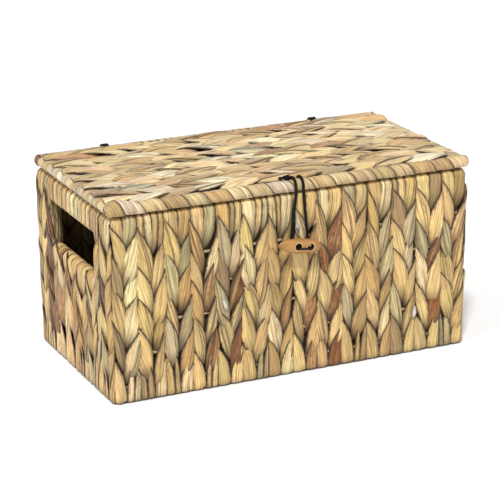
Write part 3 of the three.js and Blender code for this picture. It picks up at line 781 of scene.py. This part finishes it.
LEAF_TAN = (0.36, 0.18, 0.075)
LEAF_PALE = (0.70, 0.56, 0.32)
LEAF_VEIN = (0.15, 0.078, 0.032)
LEAF_WORN = (0.54, 0.36, 0.16)
LEAF_SPECK = (0.075, 0.038, 0.02)
# Painted shade: the rounding of a leaf's edges, and the crevices between leaves and under their low ends
LEAF_EDGE_PAINTED_SHADE = (0.16, 0.088, 0.038)
LEAF_CREVICE_PAINTED_SHADE = (0.04, 0.022, 0.011)
# The cord's black, and a painted highlight on the crowns of its strands
CORD_DARK = (0.0015, 0.0015, 0.0015)
CORD_PAINTED_HIGHLIGHT = (0.009, 0.0085, 0.008)
WOOD_DARK = (0.34, 0.16, 0.042)
WOOD_LIGHT = (0.56, 0.31, 0.1)
WOOD_RING = (0.46, 0.23, 0.062)
# Darker ends, and painted shade on the toggle's upper and lower sides
WOOD_DARK_ENDS_SIDE_SHADE = (0.19, 0.08, 0.022)
HOLE_RING = (0.72, 0.46, 0.2)
HOLE_BORE_DARK = (0.012, 0.006, 0.003)
WIRE_DARK = (0.33, 0.23, 0.11)
WIRE_LIGHT = (0.72, 0.60, 0.38)
WIRE_BROWN = (0.40, 0.26, 0.13)

# Widths of the painted shade along the edges of a leaf: a dark line in the crevice, and a broader shade of
# its rounding

EDGE_SHADE_LINE = 1.9
EDGE_SHADE_ROUND = 4.2


def leaf_material(name, roughness, sheen, low_shade_from, low_shade_full):
    """Dry leaf: fibres, blotches, speckle, a satin skin, and painted shade along its edges and at its low
    end.
    """
    leaf = Surface(name)
    look = leaf.layer("leaf_look")
    place = leaf.layer("leaf_place")["Vector"]
    from_side, run, shaded = leaf.split(leaf.layer("leaf_form")["Vector"])
    fibre = leaf.noise(place, (2.6, 0.05, 1.0), 4.0)
    streak = leaf.noise(place, (0.75, 0.022, 1.0), 3.0)
    blotch = leaf.noise(place, (0.16, 0.05, 1.0), 3.0)
    spots = leaf.noise(place, (0.95, 0.2, 1.0), 5.0, 0.7)
    lines = leaf.noise(place, (0.55, 0.012, 1.0), 2.0)

    light = leaf.times(leaf.ranged(fibre, 0.3, 0.72, 0.56, 1.3), leaf.ranged(streak, 0.3, 0.7, 0.6, 1.3))
    from_edge = leaf.times(from_side, leaf.ranged(spots, 0.35, 0.65, 0.5, 1.7))
    # Painted shade: a dark line in the crevice along each edge, and shade where the low end dips under the
    # next leaf
    edge = leaf.ranged(from_edge, EDGE_SHADE_LINE * 0.3, EDGE_SHADE_LINE, 0.97, 0)
    end = leaf.ranged(run, low_shade_from, low_shade_full, 0, 0.9)
    colour = leaf.tinted(leaf.mix(1.0, look["Color"], light, "MULTIPLY"), [
        (leaf.ranged(blotch, 0.54, 0.78, 0.0, 0.6), LEAF_TAN),
        (leaf.ranged(blotch, 0.42, 0.22, 0.0, 0.4), LEAF_PALE),
        (leaf.ranged(lines, 0.57, 0.64, 0.0, 0.62), LEAF_VEIN),
        (leaf.times(leaf.ranged(streak, 0.5, 0.64, 0.0, 0.6), look["Alpha"]), LEAF_WORN),
        (leaf.times(leaf.ranged(spots, 0.48, 0.6, 0.0, 0.9), look["Alpha"]), LEAF_SPECK),
        # The last two layers are painted shade, not marks on the leaf
        (leaf.times(leaf.ranged(from_edge, 0.0, EDGE_SHADE_ROUND, 0.5, 0.0), shaded), LEAF_EDGE_PAINTED_SHADE),
        (leaf.times(leaf.calc("MAXIMUM", edge, end), shaded), LEAF_CREVICE_PAINTED_SHADE),
    ])

    leaf.fill(leaf.shader, {"Specular IOR Level": 0.4, "Sheen Weight": sheen, "Sheen Roughness": 0.5})
    rough = leaf.ranged(fibre, 0.3, 0.7, roughness + 0.1, roughness - 0.08)
    ridges = leaf.calc("ADD", fibre, leaf.times(streak, 1.6))
    return leaf.finish(colour, rough, ridges, 0.55, 0.5)


def cord_material(name):
    """Round black braid: two sets of strands that cross along the cord."""
    cord = Surface(name)
    place = cord.layer("cord_place")["Vector"]
    angle, along, _ = cord.split(place)
    strands = []
    for turns in (8.0, -8.0):
        phase = cord.calc("ADD", cord.times(angle, turns), cord.times(along, 7.0))
        strands.append(cord.calc("SINE", phase))
    braid = cord.calc("MAXIMUM", *strands)
    fuzz = cord.noise(place, (3.0, 3.0, 1.0), 4.0)
    # Painted highlight on the strands' crowns and painted shade between them, varied by fuzz
    light = cord.times(cord.ranged(braid, -0.2, 1.0, 0.35, 1.0), cord.ranged(fuzz, 0.3, 0.7, 0.6, 1.5))
    colour = cord.mix(light, CORD_DARK, CORD_PAINTED_HIGHLIGHT)
    cord.fill(cord.shader, {"Specular IOR Level": 0.22})
    return cord.finish(colour, cord.ranged(fuzz, 0.3, 0.7, 0.65, 0.9), braid, 0.7, 0.25)


def wood_material(name):
    """Oiled honey-brown wood: grain along the toggle, darker ends, painted shade on its upper and lower
    sides, holes dark inside with a pale ring.
    """
    wood = Surface(name)
    place = wood.layer("wood_place")["Vector"]
    along, _, upward = wood.split(place)
    grain = wood.noise(place, (0.06, 1.3, 1.3), 5.0)
    rings = wood.noise(place, (0.03, 0.45, 0.45), 2.0)
    ends = wood.ranged(wood.calc("ABSOLUTE", along), 13.0, 23.0, 0.0, 0.75)
    # Painted shade on the upper and lower sides, where the toggle rounds away from the light
    sides = wood.ranged(wood.calc("ABSOLUTE", upward), 4.0, 7.5, 0.0, 0.6)
    between = wood.calc("ABSOLUTE", wood.calc("ADD", along, TOGGLE_OFFSET))
    beside = wood.calc("SUBTRACT", between, HOLE_SPACING / 2)
    squares = [wood.calc("POWER", side, 2.0) for side in (beside, upward)]
    from_hole = wood.calc("SQRT", wood.calc("ADD", *squares))
    colour = wood.tinted(WOOD_DARK, [
        (wood.ranged(grain, 0.3, 0.7, 0.0, 1.0), WOOD_LIGHT),
        (wood.ranged(rings, 0.42, 0.62, 0.0, 0.5), WOOD_RING),
        (wood.calc("MAXIMUM", ends, sides), WOOD_DARK_ENDS_SIDE_SHADE),
        (wood.ranged(from_hole, HOLE / 2 + 1.6, HOLE / 2 + 0.7, 0.0, 0.7), HOLE_RING),
        (wood.ranged(from_hole, HOLE / 2 + 0.5, HOLE / 2 + 0.1, 0.0, 0.97), HOLE_BORE_DARK),
    ])
    return wood.finish(colour, wood.ranged(grain, 0.3, 0.7, 0.5, 0.36), grain, 0.25, 0.2)


def wire_material(name):
    """Wire bound in straw-coloured leaf fibre."""
    wire = Surface(name)
    place = wire.node("ShaderNodeTexCoord")["Object"]
    fibre = wire.noise(place, (900.0, 900.0, 900.0), 4.0)
    broad = wire.noise(place, (120.0, 120.0, 120.0), 2.0)
    colour = wire.tinted(WIRE_DARK, [
        (wire.ranged(fibre, 0.3, 0.7, 0.0, 1.0), WIRE_LIGHT),
        (wire.ranged(broad, 0.45, 0.7, 0.0, 0.5), WIRE_BROWN),
    ])
    return wire.finish(colour, wire.ranged(fibre, 0.3, 0.7, 0.9, 0.7), fibre, 0.5, 0.3)


MATERIALS = {
    "leaf_wall": leaf_material("wall_leaf", roughness=0.52, sheen=0.05, low_shade_from=0.2, low_shade_full=0.85),
    "leaf_lid": leaf_material("lid_leaf", roughness=0.5, sheen=0.3, low_shade_from=0.45, low_shade_full=0.925),
    "leaf_rim": leaf_material("rim_leaf", roughness=0.5, sheen=0.2, low_shade_from=0.7, low_shade_full=1.0),
    "black_cord": cord_material("black_cord"),
    "toggle_wood": wood_material("toggle_wood"),
}
bound_wire = wire_material("bound_wire")

for node in frame["nodes"].values():
    node.data.materials.clear()
    node.data.materials.append(bound_wire)

# Walls


def split_strip(middle, width):
    """A strip over an edge is often two narrower ones side by side."""
    if rng.random() > SPLIT_SHARE:
        return [(middle, width)]
    share = rng.uniform(*SPLIT_RANGE)
    left = middle - width / 2
    return [(left + width * share / 2, width * share), (left + width * (1 + share) / 2, width * (1 - share))]


def weave_columns(lay, faces, phases, top, rows, edge_row, hand=1):
    """Half-chevrons side by side, each from the strips over its top edge to those under its foot."""
    for (middle, width), phase in zip(faces, phases):
        tones = strand_tones(len(rows) + 2)
        for place, share in split_strip(middle, width):
            tone = rng.choice(PALE_TONES) if rng.random() < PALE_SHARE else tones[0]
            edge_strip(lay, place, share, top, edge_row + phase * 0.5, hand, leaf_look(tone))
        for tone, row in zip(tones[1:], rows):
            centre = row + phase + rng.normal(0, ROW_VARIES)
            plaited_leaf(lay, middle, width, centre, ROW_PITCH, hand, leaf_look(tone))
        for place, share in split_strip(middle, width):
            foot_strip(lay, place, share, HOOPS[0] + phase * 0.5, hand, leaf_look(tones[-1]))
        hand = -hand


def long_wall(name, way, node):
    weave = Weave()
    lay = weave.on(corner_panel(HALF_LENGTH, (0, way * HALF_DEPTH, 0), (-way, 0, 0), (0, way, 0)))
    reach = corner_reach(HALF_LENGTH)
    phases = pair_phases(LONG_COLUMNS)
    faces = columns(-reach, reach, LONG_COLUMNS)
    weave_columns(lay, faces, phases, BODY_HEIGHT, WALL_ROWS, EDGE_ROW)
    shade_core(lay, -INNER_LENGTH, INNER_LENGTH, 4.0, BODY_HEIGHT - 5)
    weave.build(name, "box", "leaf_wall", [node])


def short_wall(name, way, side):
    weave = Weave()
    lay = weave.on(corner_panel(HALF_DEPTH, (way * HALF_LENGTH, 0, 0), (0, way, 0), (way, 0, 0)))
    reach = corner_reach(HALF_DEPTH)
    stiles = columns(-reach, -JAMB_Y, STILE_COLUMNS, STILE_SPREAD)
    stiles += columns(JAMB_Y, reach, STILE_COLUMNS, STILE_SPREAD)
    weave_columns(lay, stiles, pair_phases(len(stiles)), BODY_HEIGHT, WALL_ROWS, EDGE_ROW)
    low_rows = [row for row in WALL_ROWS if row < SILL_Z - ROW_PITCH]
    phases = pair_phases(HOLE_COLUMNS + 1)[1:]
    faces = columns(-JAMB_Y, JAMB_Y, HOLE_COLUMNS)
    weave_columns(lay, faces, phases, SILL_Z, low_rows, low_rows[0] + ROW_PITCH, -1)
    for middle, width in columns(-JAMB_Y - 2, JAMB_Y + 2, BAR_STRIPS, BAR_SPREAD):
        bar_strip(lay, middle, width, leaf_look())
    for edge_way in (1, -1):
        for turn in JAMB_TURNS:
            jamb_strip(lay, edge_way, turn, leaf_look())
    shade_core(lay, -INNER_DEPTH, INNER_DEPTH, 4.0, SILL_Z - 8)
    for ends in ((JAMB_Y + 8, INNER_DEPTH), (-INNER_DEPTH, -JAMB_Y - 8)):
        shade_core(lay, *ends, SILL_Z - 10, BODY_HEIGHT - 5)
    nodes = [f"{side}_{group}" for group in ("front_stile", "rear_stile", "sill_panel", "handle_bar")]
    weave.build(name, "box", "leaf_wall", nodes)


long_wall("front_weave", -1, "front_wall")
long_wall("back_weave", 1, "back_wall")
short_wall("left_weave", -1, "left")
short_wall("right_weave", 1, "right")

# Inner faces and the base, in plainer leaves


# Leaves of inner faces, by default painted darker as painted shade of the box's inside
def plain_face(lay, start, end, count, rows, pitch=ROW_PITCH, shade=LINING_SHADE):
    t = np.linspace(-1, 1, PLAIN_STEPS)
    hand = 1
    for middle, width in columns(start, end, count):
        across = middle + hand * SLANT * width / LEAF_COLUMN * t
        half = LEAF_WIDTH * width / LEAF_COLUMN / 2 * taper(t)
        for tone, row in zip(strand_tones(len(rows)), rows):
            along = row + rng.normal(0, 1.0) - pitch * LEAF_REACH / 2 * t
            look = leaf_look(tone, shade)
            path = stacked(across, along, leaf_depth(t) + rng.normal(0, 0.2))
            lay(path, half, look, -hand * ROLL * t, creases=1)
        hand = -hand


lining = Weave(across=7, under=1)
low_lining_rows = [row for row in LINING_ROWS if row < SILL_Z - ROW_PITCH / 2]
for way in (1, -1):
    long_panel = flat_panel((0, way * INNER_DEPTH, 0), (way, 0, 0), (0, 0, 1))
    lay = lining.on(clipped(long_panel, 2, LINING_LOW, LINING_TOP))
    plain_face(lay, -INNER_LENGTH, INNER_LENGTH, LINING_COLUMNS, LINING_ROWS)
    short_panel = flat_panel((way * INNER_LENGTH, 0, 0), (0, -way, 0), (0, 0, 1))
    lay = lining.on(clipped(short_panel, 2, LINING_LOW, LINING_TOP))
    for start, end in ((-INNER_DEPTH, -JAMB_Y - 4), (JAMB_Y + 4, INNER_DEPTH)):
        plain_face(lay, start, end, LINING_STILE_COLUMNS, LINING_ROWS)
    plain_face(lay, -JAMB_Y, JAMB_Y, HOLE_COLUMNS, low_lining_rows)
lining.build("inner_weave", "box", "leaf_wall")

floor_weave = Weave(across=7, under=1)
base_top = flat_panel((0, 0, BASE_TOP), (1, 0, 0), (0, 1, 0))
base_under = flat_panel((0, 0, BASE_UNDER), (-1, 0, 0), (0, 1, 0))
for face in (base_top, base_under):
    held = clipped(face, 1, -INNER_DEPTH - 6, INNER_DEPTH + 6)
    held = clipped(held, 0, -INNER_LENGTH - 4, INNER_LENGTH + 4)
    lay = floor_weave.on(held)
    plain_face(lay, -INNER_LENGTH, INNER_LENGTH, LINING_COLUMNS, BASE_ROWS, BASE_PITCH, BASE_SHADE)
shade_core(floor_weave.on(base_top), -INNER_LENGTH, INNER_LENGTH, -INNER_DEPTH, INNER_DEPTH, depth=5.5)
floor_weave.build("base_weave", "box", "leaf_wall", ["base"])

# Lid


def lid_end(lay, middle, width, way, hand, look):
    """A strip folded round an end of the lid: at the left, where way is 1, up to the point of a V."""
    start = LID_HALF - LID_FOLD - LID_GAP
    tip = LID_RODS[-1] + LID_PITCH - LID_PITCH * LEAF_REACH / 2 + way * rng.normal(0, 1)
    inner = np.linspace(start - LID_INNER, start, 4)[:-1]
    arc = np.linspace(math.pi, 0, ARC_STEPS)
    face = np.linspace(start, tip, LID_STRIP_STEPS)
    if way > 0:
        face = face[1:]
    else:
        arc = arc[:-1]
    run = (start - face) / (start - tip)
    dip = LOW_DIP if way > 0 else TOP_DIP
    turned = len(inner) + len(arc)
    path = joined(
        stacked(0, inner, -LID_THICK + LID_SKIN),
        stacked(0, start + LID_FOLD * np.sin(arc), -LID_THICK / 2 + LID_FOLD * np.cos(arc)),
        stacked(way * hand * SLANT * run ** 1.3, face, -LID_SKIN - dip * run ** 3),
    )
    path = path * [1, way, 1] + [middle, 0, 0]
    narrowing = 1 - LID_STRIP_TAPER * run ** 2.4
    half = joined(np.full(turned, width * STRIP_HALF), width * LID_STRIP_HALF * narrowing)
    half[0] *= 0.5
    roll = joined(np.zeros(turned), -way * hand * ROLL * run)
    lay(path[::way], half[::way], look, roll[::way], dome=DOME * 0.3, thick=0.8, edge_shade=0.6)


lid_weave = Weave()
lid_panel = clear_of_ties(flat_panel((0, 0, LID_TOP), (0, 1, 0), (-1, 0, 0)))
lay_end = lid_weave.on(lid_panel)
lay_leaf = lid_weave.on(clipped(lid_panel, 0, -LID_HALF + 3, LID_HALF - 3))
lid_faces = columns(-LID_EDGE, LID_EDGE, LID_COLUMNS)
hand = 1
# The lid's leaves and end strips are painted lighter and paler: painted light and sheen
for (middle, width), phase in zip(lid_faces, pair_phases(LID_COLUMNS)):
    tones = strand_tones(len(LID_ROWS) + 2)
    lid_end(lay_end, middle, width, 1, hand, leaf_look(rng.choice(PALE_TONES), 1.0, LID_PAINTED_LIGHT))
    for tone, row in zip(tones[1:], LID_ROWS):
        centre = row + phase + rng.normal(0, LID_ROW_VARIES)
        if tone > LAST_PALE and rng.random() < LID_SWAP_SHARE:
            tone = rng.choice(PALE_TONES)
        look = leaf_look(tone, 1.0, LID_PAINTED_LIGHT)
        spread = width * LID_LEAF_SPREAD
        plaited_leaf(lay_leaf, middle, spread, centre, LID_PITCH, hand, look, LID_LOW_DIP, LID_BULGE, 0.0)
    lid_end(lay_end, middle, width, -1, hand, leaf_look(tones[-1], 1.0, LID_PAINTED_LIGHT))
    hand = -hand
shade_core(lay_end, -LID_EDGE, LID_EDGE, -LID_HALF + 6, LID_HALF - 6, depth=4.6, shade=0.5)
lid_weave.build("lid_weave", "lid", "leaf_lid", ["lid_panel"])

lid_lining = Weave(across=7, under=1)
lid_under = clear_of_ties(flat_panel((0, 0, LID_BOTTOM + LID_GAP), (0, -1, 0), (-1, 0, 0)))
lay = lid_lining.on(clipped(lid_under, 0, -LID_HALF + 4, LID_HALF - 4))
plain_face(lay, -LID_EDGE, LID_EDGE, LID_COLUMNS, LID_ROWS, LID_PITCH)
lid_lining.build("lid_inner_weave", "lid", "leaf_lid")

# Wrapped rims of the lid


def wrapped_rim(name, centre_y, node, pitch, strip, knob, tones):
    """A rod wound with a leaf strip that climbs to the left, each turn lapping over the last."""
    weave = Weave(across=15, under=1)
    lay = weave.on(rod_panel(centre_y, knob))
    around = 2 * math.pi * RIM_RADIUS
    share = np.linspace(1 + RIM_LAP, -RIM_LAP, RIM_STEPS)
    sunk = RIM_SINK * np.clip((np.abs(share - 0.5) - 0.5) / RIM_LAP, 0, 1)
    for k in range(int(2 * LID_HALF / pitch) + 3):
        # Rim leaves are painted lighter and paler like the lid's: painted light and sheen
        look = leaf_look(tones[k] if k < len(tones) else rng.choice(RIM_TONES), RIM_SHADE, LID_PAINTED_LIGHT)
        middle = -LID_HALF - pitch * 0.5 + pitch * (k + rng.normal(0, 0.04))
        path = stacked(middle - pitch * share, (share - RIM_SEAM) * around, -0.1 - sunk)
        path[:, 2] += 0.06 * np.sin(share * rng.uniform(5, 9) + rng.uniform(0, 6))
        half = strip / 2 * rng.uniform(0.97, 1.05)
        lay(path, half, look, RIM_LEAN, dome=0.2, thick=0.4, creases=6, crease=0.16, edge_shade=0.95)
    weave.build(name, "lid", "leaf_rim", [node])


wrapped_rim("lid_front_rim", RIM_Y, "lid_front_wrap", pitch=20.5, strip=21.4, knob=1.9, tones=[3, 2, 3])
wrapped_rim("lid_rear_rim", REAR_Y, "lid_rear_wrap", pitch=8.0, strip=9.2, knob=0.0, tones=[7, 7, 5])

# Cords


def smooth_path(points, steps=CURVE_STEPS):
    """A smooth curve through points, with even steps between each two."""
    points = np.array(points, float)
    first = 2 * points[0] - points[1]
    last = 2 * points[-1] - points[-2]
    padded = joined([first], points, [last])
    t = np.linspace(0, 1, steps, endpoint=False)[:, None]
    pieces = []
    for a, b, c, d in zip(padded, padded[1:], padded[2:], padded[3:]):
        pieces.append(0.5 * (2 * b + (c - a) * t + (2 * a - 5 * b + 4 * c - d) * t ** 2
                             + (3 * b - a - 3 * c + d) * t ** 3))
    return joined(*pieces, points[-1:])


def arc_points(centre, radius, start, end, steps):
    """Points of an arc in an upright plane, between two angles in degrees."""
    angles = np.radians(np.linspace(start, end, steps + 1))
    return np.array(centre) + radius * stacked(np.cos(angles), np.sin(angles))


def cord_object(name, paths, diameter, body, node, sides=CORD_SIDES):
    """Round cords along paths, as one piece."""
    angles = np.linspace(0, 2 * math.pi, sides, endpoint=False)
    cords = []
    count = 0
    for path in paths:
        tangent = unit(np.gradient(path, axis=0))
        side = unit(np.cross(tangent[0], OFF_AXIS))
        rings = []
        for i, here in enumerate(path):
            side = unit(side - tangent[i] * np.dot(side, tangent[i]))
            other = np.cross(tangent[i], side)
            spokes = np.cos(angles)[:, None] * side + np.sin(angles)[:, None] * other
            radius = diameter / 2 * (CORD_END if i in (0, len(path) - 1) else 1.0)
            rings.append(here + spokes * radius)
        places = stacked(angles, length_along(path)[:, None], 0.0).reshape(-1, 3)
        cords.append((joined(*rings), *tube_faces(count, len(path), sides), places))
        count += len(path) * sides
    points, quads, caps, places = (joined(*part) for part in zip(*cords))
    obj = mesh_object(name, points, quads, caps)
    point_layer(obj.data, "cord_place", places)
    finish_piece(obj, body, "black_cord", [node])


# Hinge lashings

TIE_LOW = box_mm("left_hinge_tie")[0][2] + TIE_TAIL + TIE_BEND
TIE_RADIUS = RIM_RADIUS + CORD_GAP + TIE_CORD / 2
TIE_OUTER = HALF_DEPTH + CORD_GAP + TIE_CORD / 2
TIE_INNER = INNER_DEPTH - CORD_GAP - TIE_CORD / 2


def tie_path(centre_x):
    """Up inside the wall, over the lid's rear rim, down the back and in through the wall, turn by turn."""
    over = joined(
        [(TIE_INNER, BODY_HEIGHT - 6)],
        arc_points((REAR_Y, LID_Z), TIE_RADIUS, 180, 0, 10),
        [((REAR_Y + TIE_RADIUS + TIE_OUTER) / 2, (LID_Z + TIE_LOW + TIE_BEND) / 2)],
        arc_points((TIE_OUTER - TIE_BEND, TIE_LOW + TIE_BEND), TIE_BEND, 0, -90, 3),
    )
    back = arc_points((TIE_INNER + TIE_BEND, TIE_LOW + TIE_BEND), TIE_BEND, -90, -180, 3)
    tail = joined(
        arc_points((TIE_INNER + TIE_BEND, TIE_LOW - TIE_BEND), TIE_BEND, 90, 180, 3),
        [(TIE_INNER, TIE_LOW - TIE_BEND - TIE_TAIL)],
    )
    step = TIE_PITCH / (len(over) + len(back))
    path = [(-3 * step, TIE_INNER, TIE_LOW - TIE_TAIL), (-2 * step, TIE_INNER, TIE_LOW + TIE_BEND)]
    for turn in range(TIE_TURNS):
        route = over if turn == TIE_TURNS - 1 else joined(over, back)
        path.extend((TIE_PITCH * turn + step * i, *point) for i, point in enumerate(route))
    path.extend((TIE_PITCH * TIE_TURNS, *point) for point in tail)
    return np.array(path) + [centre_x - TIE_PITCH * TIE_TURNS / 2, 0, 0]


for side, centre_x in zip(("left", "right"), TIE_X):
    cord_object(f"{side}_lashing", [smooth_path(tie_path(centre_x))], TIE_CORD, "box", f"{side}_hinge_tie")

# Closure loop, its knot and tails

swivel_joint = next(joint for joint in frame["joints"] if joint["name"] == "toggle_swivel")
CLOSURE_X, TOGGLE_Y, TOGGLE_Z = np.array(swivel_joint["pos_m"]) / MM
LOOP_RADIUS = RIM_RADIUS + CORD_GAP + LOOP_CORD / 2
LOOP_WALL_Y = -HALF_DEPTH - CORD_GAP - LOOP_CORD / 2
LOOP_WIDE_Z = TOGGLE_Z + TOGGLE_HEIGHT / 2
LOOP_BIGHT_Z = box_mm("closure_loop")[0][2] + LOOP_CORD / 2 + LOOP_LOW


def loop_path():
    rim = np.insert(arc_points((RIM_Y, LID_Z), LOOP_RADIUS, 30, 180, 8), 0, LOOP_TOP, axis=1)
    top = np.array([LOOP_TOP, RIM_Y - LOOP_RADIUS, LID_Z - RIM_RADIUS])
    wide = np.array([LOOP_LOW, LOOP_WALL_Y, LOOP_WIDE_Z])
    run = [top + (wide - top) * share for share in (0, 1 / 3, 2 / 3, 1)]
    right = joined(rim, run)
    bight = np.insert(arc_points((0, LOOP_BIGHT_Z), LOOP_LOW, 0, -180, 10), 1, LOOP_WALL_Y, axis=1)
    left = right[::-1] * [-1, 1, 1]
    return joined(right, bight, left) + [CLOSURE_X, 0, 0]


def knot_path(size):
    """An overhand knot drawn tight: a trefoil squeezed into a small barrel."""
    t = np.linspace(KNOT_GAP, 2 * math.pi - KNOT_GAP, KNOT_STEPS)
    x = np.sin(t) + 2 * np.sin(2 * t)
    y = np.cos(t) - 2 * np.cos(2 * t)
    return stacked(x / 3, y / 3, -np.sin(3 * t)) * (np.array(size) / 2)


cord_object("elastic_loop", [smooth_path(loop_path())], LOOP_CORD, "loop", "closure_loop")

knot_low, knot_high = box_mm("loop_knot")
knot_size = knot_high - knot_low
tight = knot_path(knot_size - KNOT_CORD * np.array([1.0, 0.6, 1.0]))
tail_start = np.array([-knot_size[0] / 2 + 1.0, 0.0, 0.0])
tails = [
    (1, (-2.5, -1.0, 0.2), (-5.0, -1.6, -0.4)),
    (1, (-2.2, 1.2, 0.0), (-4.2, 2.4, -0.5)),
    (-1, (1.6, 0.3, -0.6), (3.0, 0.6, -1.2)),
]
ends = [smooth_path(way * tail_start + np.array([(0, 0, 0), *tail]), 6) for way, *tail in tails]
knot_paths = [(knot_low + knot_high) / 2 + path for path in (tight, *ends)]
cord_object("loop_tie", knot_paths, KNOT_CORD, "loop", "loop_knot", THREAD_SIDES)

# Toggle

SWIVEL = Matrix.Translation(Vector((CLOSURE_X, TOGGLE_Y, TOGGLE_Z))) @ Matrix.Rotation(TOGGLE_TILT, 4, "Y")


def on_toggle(points):
    """From places about the toggle's swivel to the box."""
    turn = np.array(SWIVEL)
    return points @ turn[:3, :3].T + turn[:3, 3]


def lathe(name, profile, sides):
    """A mesh turned about the X axis from (x, radius) points."""
    x, radius = np.array(profile, float).T[:, :, None]
    angles = np.linspace(0, 2 * math.pi, sides, endpoint=False)
    rings = stacked(x, radius * np.cos(angles), radius * np.sin(angles))
    return mesh_object(name, rings.reshape(-1, 3), *tube_faces(0, len(profile), sides))


def bored(body, place):
    """The body with one flared hole through it along Y, at a place along X."""
    half = TOGGLE_THICK / 2
    flare = [(0.7, 0.0), (0.92, HOLE_FLARE), (1 + 2 / half, HOLE_MOUTH)]
    front = [(half * share, HOLE / 2 + wider) for share, wider in flare]
    drill = lathe("drill", [(-x, radius) for x, radius in reversed(front)] + front, 40)
    drill.data.transform(Matrix.Rotation(math.pi / 2, 4, "Z"))
    drill.data.transform(Matrix.Translation(Vector((place * MM, 0, 0))))
    bore = body.modifiers.new("bore", "BOOLEAN")
    bore.operation = "DIFFERENCE"
    bore.solver = "EXACT"
    bore.object = drill
    evaluated = body.evaluated_get(bpy.context.evaluated_depsgraph_get())
    body.data = bpy.data.meshes.new_from_object(evaluated)
    body.modifiers.clear()
    bpy.data.objects.remove(drill)


def toggle_object():
    along = np.cos(np.linspace(math.pi, 0, 49))
    radius = (TOGGLE_HEIGHT / 2 - TOGGLE_INSET) * np.maximum(1e-4, 1 - along ** 2) ** BLUNTNESS
    radius[[0, -1]] = TOGGLE_END
    body = lathe("wooden_toggle", stacked(along * TOGGLE_LENGTH / 2, radius), 64)
    body.data.transform(Matrix.Diagonal((1, TOGGLE_THICK / TOGGLE_HEIGHT, 1, 1)))
    body.data.transform(Matrix.Translation(Vector((TOGGLE_OFFSET * MM, 0, 0))))
    for sign in (-1, 1):
        bored(body, sign * HOLE_SPACING / 2)
    mesh = body.data
    points = np.empty(len(mesh.vertices) * 3, np.float32)
    mesh.vertices.foreach_get("co", points)
    points = points.reshape(-1, 3) / MM
    point_layer(mesh, "wood_place", points - [TOGGLE_OFFSET, 0, 0])
    mesh.vertices.foreach_set("co", (on_toggle(points) * MM).astype(np.float32).ravel())
    mesh.update()
    finish_piece(body, "toggle", "toggle_wood", ["toggle"])


toggle_object()

# The right half of the stitch, from its knot inside the wall out through one hole
STITCH = [
    (1.075, 24, 0), (1.075, 17, 0), (1.075, 9.65, 0), (1.075, 7.175, 0), (3.6, 5.25, -0.41),
    (4.85, 3.65, -0.61), (6.075, 0, -1.225), (6.075, -3.65, -1.225), (4.5, -5.075, -1.225),
    (1.625, -5.25, -1.225),
]
stitch = smooth_path(STITCH + [(-x, y, z) for x, y, z in reversed(STITCH)])
cord_object("toggle_thread", [on_toggle(stitch)], THREAD, "toggle", "toggle_stitch", THREAD_SIDES)

inner_low, inner_high = box_mm("toggle_knot")
inner_tie = knot_path((inner_high - inner_low)[[0, 2, 1]] - INNER_CORD)
inner_tie = inner_tie[:, [0, 2, 1]] + (inner_low + inner_high) / 2
cord_object("inner_knot", [inner_tie], INNER_CORD, "toggle", "toggle_knot", THREAD_SIDES)

# Floor and light

PAPER_WHITE = (0.92, 0.92, 0.925)
SKY = 0.45

bpy.ops.mesh.primitive_plane_add(size=16)
ground = bpy.context.object
ground.name = "ground"
paper = Surface("paper")
paper.fill(paper.shader, {"Base Color": PAPER_WHITE, "Roughness": 0.9, "Specular IOR Level": 0.0})
ground.data.materials.append(paper.material)

world = bpy.data.worlds.new("studio")
world.use_nodes = True
bpy.context.scene.world = world
sky = world.node_tree.nodes["Background"].inputs
sky["Color"].default_value = (1.0, 1.0, 1.0, 1)
sky["Strength"].default_value = SKY


def sun(name, direction, strength, spread):
    lamp = bpy.data.lights.new(name, "SUN")
    lamp.energy = strength
    lamp.angle = math.radians(spread)
    obj = bpy.data.objects.new(name, lamp)
    obj.rotation_euler = Vector(direction).to_track_quat("Z", "Y").to_euler()
    bpy.context.scene.collection.objects.link(obj)


sun("key", (-0.30, -0.48, 0.82), strength=2.6, spread=8)
sun("side", (-0.90, -0.25, 0.36), strength=0.62, spread=16)

# Camera, with its lens in millimetres and its places in metres

FOCAL = 150.5
SENSOR = 36
AZIMUTH = math.radians(-24.77)
ELEVATION = math.radians(18.31)
CAMERA_ROLL = math.radians(-0.533)
AIM = Vector((0, 0, 0.087))
STAND = Vector((-0.0014, 0.0050, 1.9813))

camera_data = bpy.data.cameras.new("camera")
camera_data.lens = FOCAL
camera_data.sensor_width = SENSOR
camera = bpy.data.objects.new("camera", camera_data)
turned = Matrix.Rotation(AZIMUTH, 4, "Z") @ Matrix.Rotation(math.pi / 2 - ELEVATION, 4, "X")
rolled = turned @ Matrix.Rotation(CAMERA_ROLL, 4, "Z")
camera.matrix_world = Matrix.Translation(AIM) @ rolled @ Matrix.Translation(STAND)
bpy.context.scene.collection.objects.link(camera)
bpy.context.scene.camera = camera
bpy.context.scene.view_settings.view_transform = "Standard"
